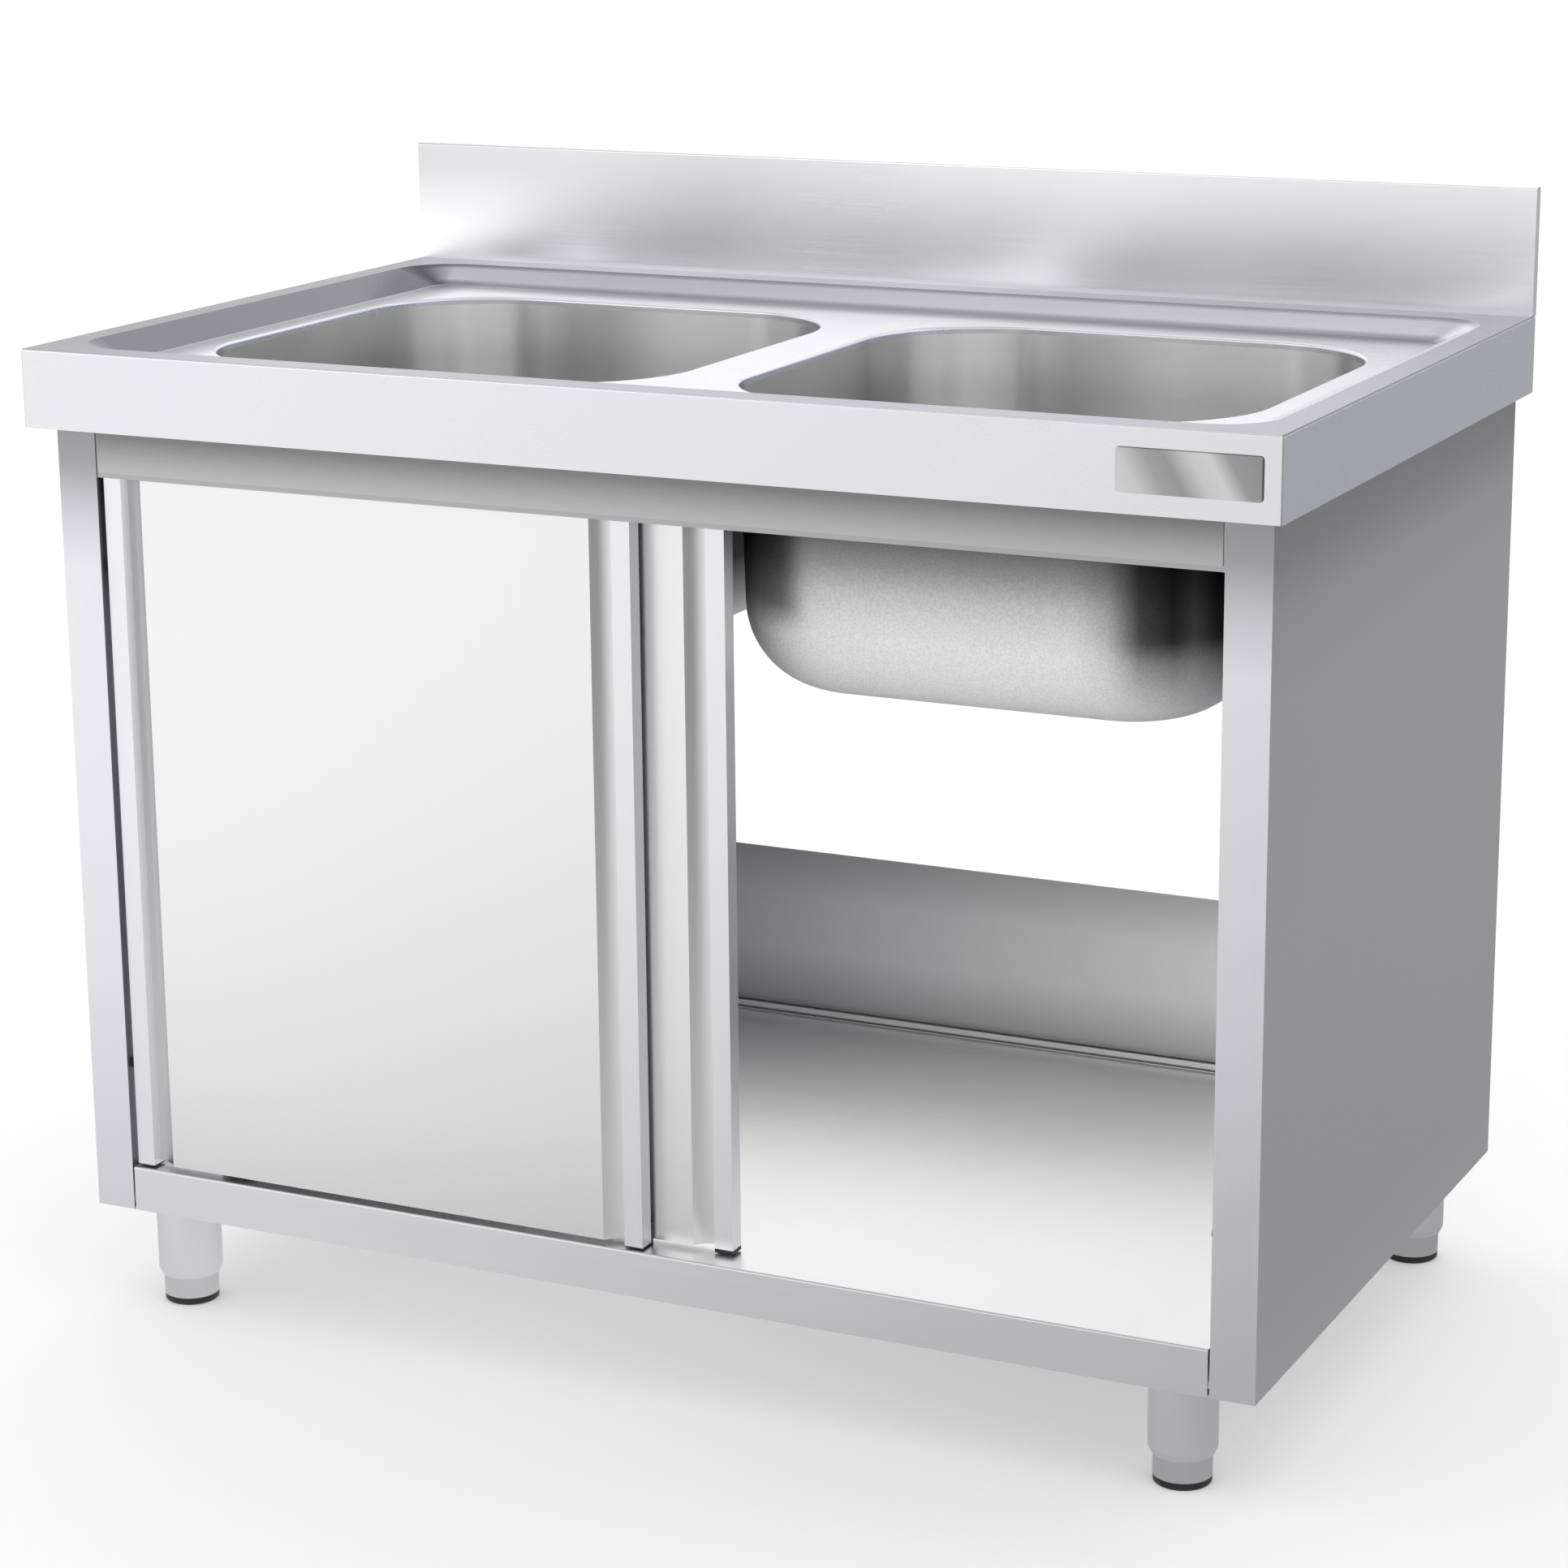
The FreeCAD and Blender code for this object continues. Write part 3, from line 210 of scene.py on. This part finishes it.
def satin_steel(name, colour, roughness, grain, painted_shading=None, variation=0.010, grain_depth=0.010,
                side_grain=None):
    """Satin-ground stainless sheet: fine straight grain, faint streaks and soft handling marks.

    Painted shading, where given, is a function of the graph that returns the painted light and shade by
    which the sheet's grey varies over it.
    A side grain is the direction of the grain where the sheet turns down at its left and right.
    """
    material, g = new_material(name)
    marks = g.noise(g.coordinates(), scale=4.0, detail=4.0, roughness=0.55, distortion=0.4)
    worn = ground_grain(g, grain)
    if side_grain is not None:
        sideways = g.math("GREATER_THAN", g.math("ABSOLUTE", g.facing("X")), TURNED_DOWN)
        worn = g.blend(sideways, worn, ground_grain(g, side_grain))
    grey = g.mix(g.rise(worn, *NOISE_RANGE), *shades(colour, variation))
    if painted_shading is not None:
        grey = g.times(grey, painted_shading(g))
    swing, wear = 2.0 * variation, 0.015
    rough = g.math("ADD", g.remap(worn, roughness - swing, roughness + swing, *NOISE_RANGE),
                   g.remap(marks, -wear, wear, *NOISE_RANGE))
    shader = g.principled(Base_Color=grey, Metallic=1.0, Roughness=rough, Anisotropic=0.35,
                          Normal=g.bump(worn, grain_depth, SHEET_BUMP))
    tangent = g.add("ShaderNodeCombineXYZ")
    for index, value in enumerate(by_axis(grain, 0.0, 1.0)):
        tangent.inputs[index].default_value = value
    g.link(tangent.outputs["Vector"], shader.inputs["Tangent"])
    return material


BOWL_X, BOWL_Y, BOWL_MIDDLE_Z = 0.226, -0.016, 0.65
BOWL_FLOOR = (0.88, 0.885, 0.88)
# Painted highlights and shade inside the bowl, as greys from left to right and from the floor up.
INSIDE_PAINTED_HIGHLIGHT_BANDS = [
    (-0.201, 0.70), (-0.185, 0.84), (-0.170, 1.0), (-0.135, 1.0), (-0.112, 0.80), (-0.092, 1.0),
    (-0.066, 0.78), (-0.030, 0.76), (0.020, 0.94), (0.110, 0.99), (0.150, 1.0), (0.168, 0.72),
    (0.184, 1.0), (0.201, 0.84),
]
INSIDE_PAINTED_SHADE_HEIGHT = [(0.53, 1.0), (0.64, 1.0), (0.69, 0.82), (0.705, 0.84), (0.728, 1.0), (0.75, 1.0)]
# Painted shade outside it, as greys from the floor up and from left to right.
OUTSIDE_PAINTED_SHADE_HEIGHT = [
    (0.53, 1.0), (0.588, 1.0), (0.60, 0.88), (0.62, 0.68), (0.64, 0.38), (0.66, 0.19),
    (0.685, 0.09), (0.75, 0.06),
]
OUTSIDE_PAINTED_SHADE_CORNERS = [
    (-0.201, 0.10), (-0.184, 0.14), (-0.160, 0.86), (-0.14, 1.0), (0.09, 1.0), (0.118, 0.80),
    (0.140, 0.16), (0.160, 0.07), (0.172, 0.24), (0.184, 0.08), (0.201, 0.08),
]
# Heights over which the painted shade at the outside ends comes in.
CORNER_SHADE_START, CORNER_SHADE_FULL = 0.545, 0.60
FROST_END, METAL_START = 0.585, 0.605
FROST_DARK, FROST_LIGHT = (0.84, 0.84, 0.84), (0.99, 0.99, 0.99)


def drawn_steel(name, centre_x):
    """A deep-drawn bowl: bright inside, with painted highlights and shade in soft upright bands;
    outside dull, darkened by painted shade towards the top and the ends, with a frosted floor."""
    material, g = new_material(name)
    x, y, z = g.place()
    from_centre = (g.math("SUBTRACT", x, centre_x), g.math("SUBTRACT", y, BOWL_Y),
                   g.math("SUBTRACT", z, BOWL_MIDDLE_Z))
    across = from_centre[0]
    outward = [g.math("MULTIPLY", distance, g.facing(axis))
               for distance, axis in zip(from_centre, "XYZ")]
    outward = g.math("ADD", g.math("ADD", outward[0], outward[1]), outward[2])
    outside = g.math("GREATER_THAN", outward, 0.0)

    wall = g.fall(g.math("ABSOLUTE", g.facing("Z")), 0.3, 0.8)
    # Inside, painted highlights and shade in upright bands and by height.
    painted_walls = g.times(g.levels(across, INSIDE_PAINTED_HIGHLIGHT_BANDS), g.levels(z, INSIDE_PAINTED_SHADE_HEIGHT))
    inner = g.mix(wall, BOWL_FLOOR, painted_walls)

    dust = g.noise(g.coordinates(), scale=620.0)
    frost = g.mix(g.rise(dust, 0.35, 0.65), FROST_DARK, FROST_LIGHT)
    # Outside, painted shade darkens the top and the ends.
    corners = g.mix(g.rise(z, CORNER_SHADE_START, CORNER_SHADE_FULL), WHITE, g.levels(across, OUTSIDE_PAINTED_SHADE_CORNERS))
    outer = g.times(g.times(frost, g.levels(z, OUTSIDE_PAINTED_SHADE_HEIGHT)), corners)

    frosted = g.math("MULTIPLY", outside, g.fall(z, FROST_END, METAL_START))
    rough = g.math("ADD", g.remap(outside, 0.24, 0.44), g.math("MULTIPLY", dust, 0.04))
    grit = g.math("MULTIPLY", dust, g.remap(outside, 0.05, 1.0))
    g.principled(Base_Color=g.mix(outside, inner, outer), Metallic=g.fall(frosted, 0.0, 1.0),
                 Roughness=rough, Normal=g.bump(grit, 0.10, FROST_BUMP))
    return material


def polished_metal(name, colour, roughness, painted_shading=None):
    """Bright turned or plated metal with faint turning marks."""
    material, g = new_material(name)
    marks = g.noise(g.coordinates((30.0, 30.0, 400.0)), detail=3.0)
    grey = g.mix(marks, *shades(colour, 0.02))
    # Painted shading, where given, multiplies the grey.
    if painted_shading is not None:
        grey = g.times(grey, painted_shading(g))
    g.principled(Base_Color=grey, Metallic=1.0,
                 Roughness=g.remap(marks, roughness, roughness + 0.05, *NOISE_RANGE),
                 Normal=g.bump(marks, 0.02, TURNED_BUMP))
    return material


def moulded(name, colour, roughness, pit=0.1):
    """Moulded plastic or rubber: a fine matt skin with slight scuffs."""
    material, g = new_material(name)
    skin = g.noise(g.coordinates(), scale=1400.0)
    scuffs = g.noise(g.coordinates(), scale=60.0, detail=4.0, roughness=0.65)
    lighter = tuple(min(c * 1.6 + 0.01, 1.0) for c in colour)
    g.principled(Base_Color=g.mix(g.remap(scuffs, 0.0, 0.6, 0.5, 0.8), colour, lighter),
                 Roughness=g.remap(scuffs, roughness - 0.08, roughness + 0.1, *NOISE_RANGE),
                 Normal=g.bump(skin, pit, SKIN_BUMP))
    return material


# ---------------------------------------------------------------- painted light and shade: how the greys vary
# Heights in the worktop: its deck, and its rim 14 mm higher.
DECK_BEND_START, DECK_BEND_END = 0.7575, 0.7600
SLOPE_FOOT_START, SLOPE_FOOT_END = 0.7562, 0.7566
RIM_START, RIM_END = 0.7670, 0.7690
# Painted shade along the deck's rear and left bands, the rim and the left slope; painted light, bluer,
# on the sides.
REAR_SHADE_BAND = [(0.195, 0.0), (0.218, 0.7), (0.262, 1.0)]
LEFT_SHADE_BAND = [(-0.50, 1.0), (-0.436, 1.0), (-0.418, 0.6), (-0.404, 0.0)]
RIM_SHADE_ALONG = [(-0.5, 0.46), (-0.46, 0.50), (-0.30, 0.92), (0.5, 0.88)]
SIDE_PAINTED_LIGHT, RIM_PAINTED_SHADE = (1.06, 1.08, 1.18), (0.52, 0.52, 0.56)
LEFT_DECK_PAINTED_SHADE, REAR_DECK_PAINTED_SHADE = (0.42, 0.42, 0.455), (0.34, 0.35, 0.37)
LEFT_SLOPE_PAINTED_SHADE = (0.20, 0.20, 0.222)


def worktop_painted_shading(g):
    """Painted shade on the rim, the slope at the left and the deck's left and rear bands; painted
    light, bluer, on the sides.
    """
    x, y, z = g.place()
    upward = g.rise(g.facing("Z"), 0.75, 0.95)
    rim = g.all_of(upward, g.rise(z, RIM_START, RIM_END))
    deck = g.all_of(upward, g.fall(z, DECK_BEND_START, DECK_BEND_END))
    tilted = g.all_of(g.rise(g.facing("Z"), 0.2, 0.4), g.rise(g.facing("X"), 0.12, 0.35))
    left_slope = g.all_of(g.rise(z, SLOPE_FOOT_START, SLOPE_FOOT_END), tilted)
    side = g.rise(g.facing("X"), 0.6, 0.8)
    painted_shading = g.mix(side, WHITE, SIDE_PAINTED_LIGHT)
    painted_shading = g.mix(rim, painted_shading, g.times(RIM_PAINTED_SHADE, g.levels(x, RIM_SHADE_ALONG)))
    painted_shading = g.mix(g.all_of(deck, g.levels(x, LEFT_SHADE_BAND)), painted_shading, LEFT_DECK_PAINTED_SHADE)
    painted_shading = g.mix(g.all_of(deck, g.levels(y, REAR_SHADE_BAND)), painted_shading, REAR_DECK_PAINTED_SHADE)
    return g.mix(left_slope, painted_shading, LEFT_SLOPE_PAINTED_SHADE)


def splashback_painted_reflection(g):
    """Painted reflections as soft clouds in the lower part; painted light brightens the top from left
    to right.
    """
    x, _, z = g.place()
    clouds = g.levels(x, [(-0.5, 1.13), (-0.42, 1.13), (-0.32, 0.98), (-0.15, 0.98), (0.0, 1.06),
                          (0.10, 1.0), (0.25, 0.99), (0.40, 1.05), (0.5, 1.12)])
    lower = g.levels(z, [(0.770, 1.0), (0.785, 0.99), (0.815, 0.99), (0.845, 1.0), (0.87, 1.0)])
    upper = g.levels(x, [(-0.5, 0.83), (-0.2, 0.98), (0.0, 1.12), (0.5, 1.13)])
    return g.mix(g.rise(z, 0.80, 0.85), g.times(clouds, lower), upper)


def cabinet_painted_shading(g):
    """Painted light makes the folded posts brighter than the sides; painted shade darkens both up under
    the worktop, and a little at the foot.
    """
    _, _, z = g.place()
    post = g.fall(g.facing("Y"), -0.7, -0.3)
    face = g.mix(post, (0.93, 0.925, 0.965), (1.17, 1.165, 1.20))
    side_shade = g.levels(z, [(0.08, 0.95), (0.14, 0.93), (0.40, 1.0), (0.58, 1.0), (0.64, 0.88),
                               (0.68, 0.63), (0.71, 0.54), (0.74, 0.53)])
    post_shade = g.levels(z, [(0.08, 0.92), (0.14, 0.94), (0.30, 1.0), (0.60, 0.98), (0.64, 0.78),
                               (0.68, 0.46), (0.71, 0.38), (0.74, 0.37)])
    return g.times(face, g.mix(post, side_shade, post_shade))


def header_painted_shade(g):
    """Painted shade that darkens up into the corner under the worktop's apron."""
    _, _, z = g.place()
    return g.levels(z, [(0.675, 0.70), (0.682, 0.63), (0.702, 0.35), (0.740, 0.30)])


def shelf_painted_shading(g):
    """Bright, with painted shade a little duller at its ends; painted shade lines and a painted
    highlight line along the hem at the back; painted shade in cabinet grey on the front rail."""
    x, y, z = g.place()
    depth = g.levels(y, [(-0.277, 1.0), (0.10, 1.01), (0.296, 1.02)])
    width = g.levels(x, [(-0.487, 0.95), (0.0, 1.02), (0.12, 1.02), (0.487, 0.92)])
    hem = g.levels(z, [(0.1165, 0.20), (0.1180, 0.20), (0.1190, 0.95), (0.1225, 1.0),
                       (0.1235, 0.35), (0.1240, 0.25)])
    painted_shading = g.mix(g.rise(z, 0.1162, 0.1166), g.times(depth, width), hem)
    return g.mix(g.fall(y, -0.2755, -0.2745), painted_shading, (0.84, 0.835, 0.865))


def upstand_painted_shading(g):
    """Painted light brightest in the middle of its length and height; painted shade dark along its
    foot.
    """
    x, _, z = g.place()
    width = g.levels(x, [(-0.487, 0.95), (0.0, 1.07), (0.13, 1.07), (0.30, 1.0), (0.487, 0.90)])
    height = g.levels(z, [(0.080, 0.45), (0.126, 0.45), (0.130, 0.62), (0.148, 0.78), (0.175, 0.97),
                          (0.200, 1.0), (0.225, 0.96), (0.250, 0.78), (0.267, 0.66)])
    return g.times(width, height)


def door_painted_shade(g):
    """Painted shade: a little duller at the bottom and the top."""
    _, _, z = g.place()
    return g.levels(z, [(0.118, 0.88), (0.20, 0.98), (0.30, 1.0), (0.66, 0.97), (0.69, 0.94)])


def badge_painted_sheen(g):
    """Painted sheen in slanting bands, and painted shade on the darker right and top edges."""
    x, _, z = g.place()
    middle_z, lean = 0.74, 0.6
    slant = g.math("ADD", x, g.math("MULTIPLY", g.math("SUBTRACT", z, middle_z), lean))
    sheen = g.levels(slant, [(0.373, 0.86), (0.392, 0.80), (0.410, 0.50), (0.424, 0.44),
                             (0.442, 0.80), (0.456, 0.86), (0.470, 0.45), (0.497, 0.38)])
    right = g.levels(x, [(0.383, 1.0), (0.4855, 1.0), (0.4863, 0.25), (0.487, 0.25)])
    top = g.levels(z, [(0.725, 1.0), (0.7545, 1.0), (0.7553, 0.35), (0.756, 0.35)])
    return g.times(sheen, g.times(right, top))


def dress():
    """Gives every CAD node its material, by the ending of its name."""
    top = satin_steel("worktop satin", (0.805, 0.80, 0.83), 0.28, "X", worktop_painted_shading,
                      variation=0.003, grain_depth=0.002, side_grain="Y")
    splash = satin_steel("splashback satin", (0.86, 0.86, 0.875), 0.25, "X", splashback_painted_reflection)
    cabinet = satin_steel("cabinet satin", (0.74, 0.735, 0.745), 0.33, "Z", cabinet_painted_shading)
    header = satin_steel("header satin", (0.74, 0.74, 0.75), 0.42, "X", header_painted_shade)
    rail = satin_steel("rail satin", (0.70, 0.70, 0.715), 0.34, "X")
    shelf = satin_steel("shelf satin", (0.95, 0.95, 0.95), 0.34, "X", shelf_painted_shading)
    upstand = satin_steel("upstand satin", (0.92, 0.92, 0.925), 0.36, "X", upstand_painted_shading)
    door = satin_steel("door satin", (0.94, 0.935, 0.94), 0.30, "Z", door_painted_shade, variation=0.005,
                       grain_depth=0.004)
    stile = satin_steel("stile satin", (0.885, 0.875, 0.905), 0.30, "Z")
    track = satin_steel("track mill finish", (0.45, 0.45, 0.46), 0.40, "X")
    left_bowl = drawn_steel("left drawn bowl", -BOWL_X)
    right_bowl = drawn_steel("right drawn bowl", BOWL_X)
    tube = satin_steel("foot tube satin", (0.82, 0.815, 0.84), 0.32, "Z")
    insert = satin_steel("foot insert satin", (0.68, 0.675, 0.70), 0.32, "Z")
    badge = polished_metal("blank plate", (0.78, 0.78, 0.79), 0.20, badge_painted_sheen)
    chrome = polished_metal("chromed waste", (0.80, 0.80, 0.81), 0.10)
    brass = polished_metal("turned brass", (0.72, 0.56, 0.28), 0.28)
    zinc = polished_metal("plated screw steel", (0.62, 0.62, 0.64), 0.32)
    black = moulded("black moulded plastic", (0.012, 0.012, 0.013), 0.45)
    nylon = moulded("white nylon", (0.78, 0.78, 0.75), 0.42)
    rubber = moulded("black rubber", (0.015, 0.015, 0.015), 0.65, pit=0.2)
    by_ending = {
        "worktop": top, "splashback": splash, "badge_plate": badge, "left_basin": left_bowl,
        "right_basin": right_bowl, "side_panel": cabinet, "stiffener": rail, "header_rail": header,
        "rear_rail": rail, "bottom_shelf": shelf, "rear_upstand": upstand, "door_track": track,
        "door_panel": door, "door_back": door, "stile": stile, "hangers": track,
        "roller_axles": zinc, "wheel": nylon, "glides": black, "door_guide": black,
        "door_buffers": rubber, "waste_body": chrome, "strainer": chrome, "waste_nut": brass,
        "waste_gasket": rubber, "worktop_screws": zinc, "foot_tube": tube, "foot_insert": insert,
        "foot_pad": black,
    }
    for name, node in nodes.items():
        material = next(m for ending, m in by_ending.items() if name.endswith(ending))
        node.data.materials.clear()
        node.data.materials.append(material)


# ---------------------------------------------------------------- studio
# The studio as the metal sees it: greys at eight bearings round the unit, counted from -X by way of
# -Y, low and half-way up the surround, and on the floor near the unit and far from it.
SURROUND_LOW = [1.15, 1.25, 1.25, 1.20, 1.20, 1.25, 1.25, 1.10]
SURROUND_MIDDLE = [0.75, 0.45, 0.35, 0.55, 0.72, 0.90, 1.20, 1.30]
SURROUND_TOP = (0.75, 0.75, 0.75)
FLOOR_NEAR = [0.60, 0.75, 0.58, 0.50, 0.42, 0.42, 0.42, 0.50]
FLOOR_FAR = [0.75, 1.10, 0.85, 0.15, 0.28, 0.38, 0.44, 0.60]
# Degrees above the horizon up to which the surround is low, and at which the next greys are reached.
LOW_END, MIDDLE_HEIGHT, TOP_HEIGHT = 8.0, 38.0, 75.0
NEAR_RADIUS, FAR_RADIUS = 0.6, 2.4
FLOOR_HALF_SIZE = 40.0
FLOOR_COLOUR = (0.9, 0.9, 0.9)
# Added for the camera alone, so that the pale floor reads as white.
FLOOR_LIFT = 0.25


def by_bearing(g, x, y, greys):
    """A grey that goes round the Z axis through a ring of given greys."""
    turn = g.rise(g.math("ARCTAN2", y, x), -math.pi, math.pi)
    stops = [(index / len(greys), grey) for index, grey in enumerate(greys)]
    return g.ramp(turn, stops + [(1.0, greys[0])])


def paint_floor(material):
    """Pale with the object's shadow to the camera; the studio's greys in reflections."""
    g = Graph(material)
    x, y, _ = g.place()
    radius = g.math("SQRT", g.math("ADD", g.math("MULTIPLY", x, x), g.math("MULTIPLY", y, y)))
    away = g.rise(radius, NEAR_RADIUS, FAR_RADIUS)
    reflected = g.mix(away, by_bearing(g, x, y, FLOOR_NEAR), by_bearing(g, x, y, FLOOR_FAR))
    path = g.add("ShaderNodeLightPath")
    diffuse = g.add("ShaderNodeBsdfDiffuse")
    g.put(diffuse, "Color", FLOOR_COLOUR)
    glow = g.add("ShaderNodeEmission")
    g.put(glow, "Color", reflected)
    mixer = g.add("ShaderNodeMixShader")
    g.link(path.outputs["Is Glossy Ray"], mixer.inputs[0])
    g.link(diffuse.outputs["BSDF"], mixer.inputs[1])
    g.link(glow.outputs["Emission"], mixer.inputs[2])
    lift = g.add("ShaderNodeEmission")
    g.put(lift, "Strength", g.math("MULTIPLY", path.outputs["Is Camera Ray"], FLOOR_LIFT))
    total = g.add("ShaderNodeAddShader")
    g.link(mixer.outputs["Shader"], total.inputs[0])
    g.link(lift.outputs["Emission"], total.inputs[1])
    g.end_with("Material", total.outputs["Shader"])


def make_floor():
    mesh = bpy.data.meshes.new("floor")
    builder = bmesh.new()
    bmesh.ops.create_grid(builder, x_segments=8, y_segments=8, size=FLOOR_HALF_SIZE)
    builder.to_mesh(mesh)
    builder.free()
    floor = bpy.data.objects.new("floor", mesh)
    bpy.context.scene.collection.objects.link(floor)
    material = bpy.data.materials.new("pale floor")
    paint_floor(material)
    mesh.materials.append(material)


def make_world():
    """White to the camera; the studio's greys for light and reflections."""
    world = bpy.data.worlds.new("studio")
    bpy.context.scene.world = world
    g = Graph(world)
    x, y, z = g.axes(g.add("ShaderNodeTexCoord").outputs["Generated"])
    height = g.math("ARCSINE", z)
    low_end, middle_height, top_height = map(math.radians, (LOW_END, MIDDLE_HEIGHT, TOP_HEIGHT))
    around = g.mix(g.rise(height, low_end, middle_height),
                   by_bearing(g, x, y, SURROUND_LOW), by_bearing(g, x, y, SURROUND_MIDDLE))
    around = g.mix(g.rise(height, middle_height, top_height), around, SURROUND_TOP)
    path = g.add("ShaderNodeLightPath")
    background = g.add("ShaderNodeBackground")
    g.put(background, "Color", g.mix(path.outputs["Is Camera Ray"], around, WHITE))
    g.end_with("World", background.outputs["Background"])


def area_light(name, place, target, size, power):
    data = bpy.data.lights.new(name, "AREA")
    data.shape = "RECTANGLE"
    data.size, data.size_y = size
    data.energy = power
    light = bpy.data.objects.new(name, data)
    light.location = place
    light.rotation_mode = "QUATERNION"
    light.rotation_quaternion = (Vector(target) - Vector(place)).to_track_quat("-Z", "Y")
    bpy.context.scene.collection.objects.link(light)


def make_lamps():
    unit_middle = (0.0, 0.0, 0.4)
    area_light("overhead softbox", (-0.3, -0.2, 3.2), unit_middle, (2.6, 2.6), 5.0)
    area_light("front left softbox", (-2.2, -3.0, 2.2), unit_middle, (2.0, 2.0), 7.0)


def make_camera():
    """The photograph's viewpoint, fitted to the unit's corners in a 1932 x 1932 frame."""
    frame_pixels = 1932.0
    focal_pixels = 4968.7
    yaw, pitch, roll = math.radians(25.898), math.radians(14.62), math.radians(-0.521)
    data = bpy.data.cameras.new("camera")
    data.sensor_width = 36.0
    data.lens = focal_pixels / frame_pixels * data.sensor_width
    camera = bpy.data.objects.new("camera", data)
    turn = (Matrix.Rotation(yaw, 4, "Z") @ Matrix.Rotation(math.pi / 2 - pitch, 4, "X")
            @ Matrix.Rotation(roll, 4, "Z"))
    camera.matrix_world = Matrix.Translation((1.3370, -2.7720, 1.2147)) @ turn
    bpy.context.scene.collection.objects.link(camera)
    bpy.context.scene.camera = camera


make_camera()
make_world()
make_floor()
make_lamps()
dress()

bpy.context.scene.view_settings.view_transform = "Standard"
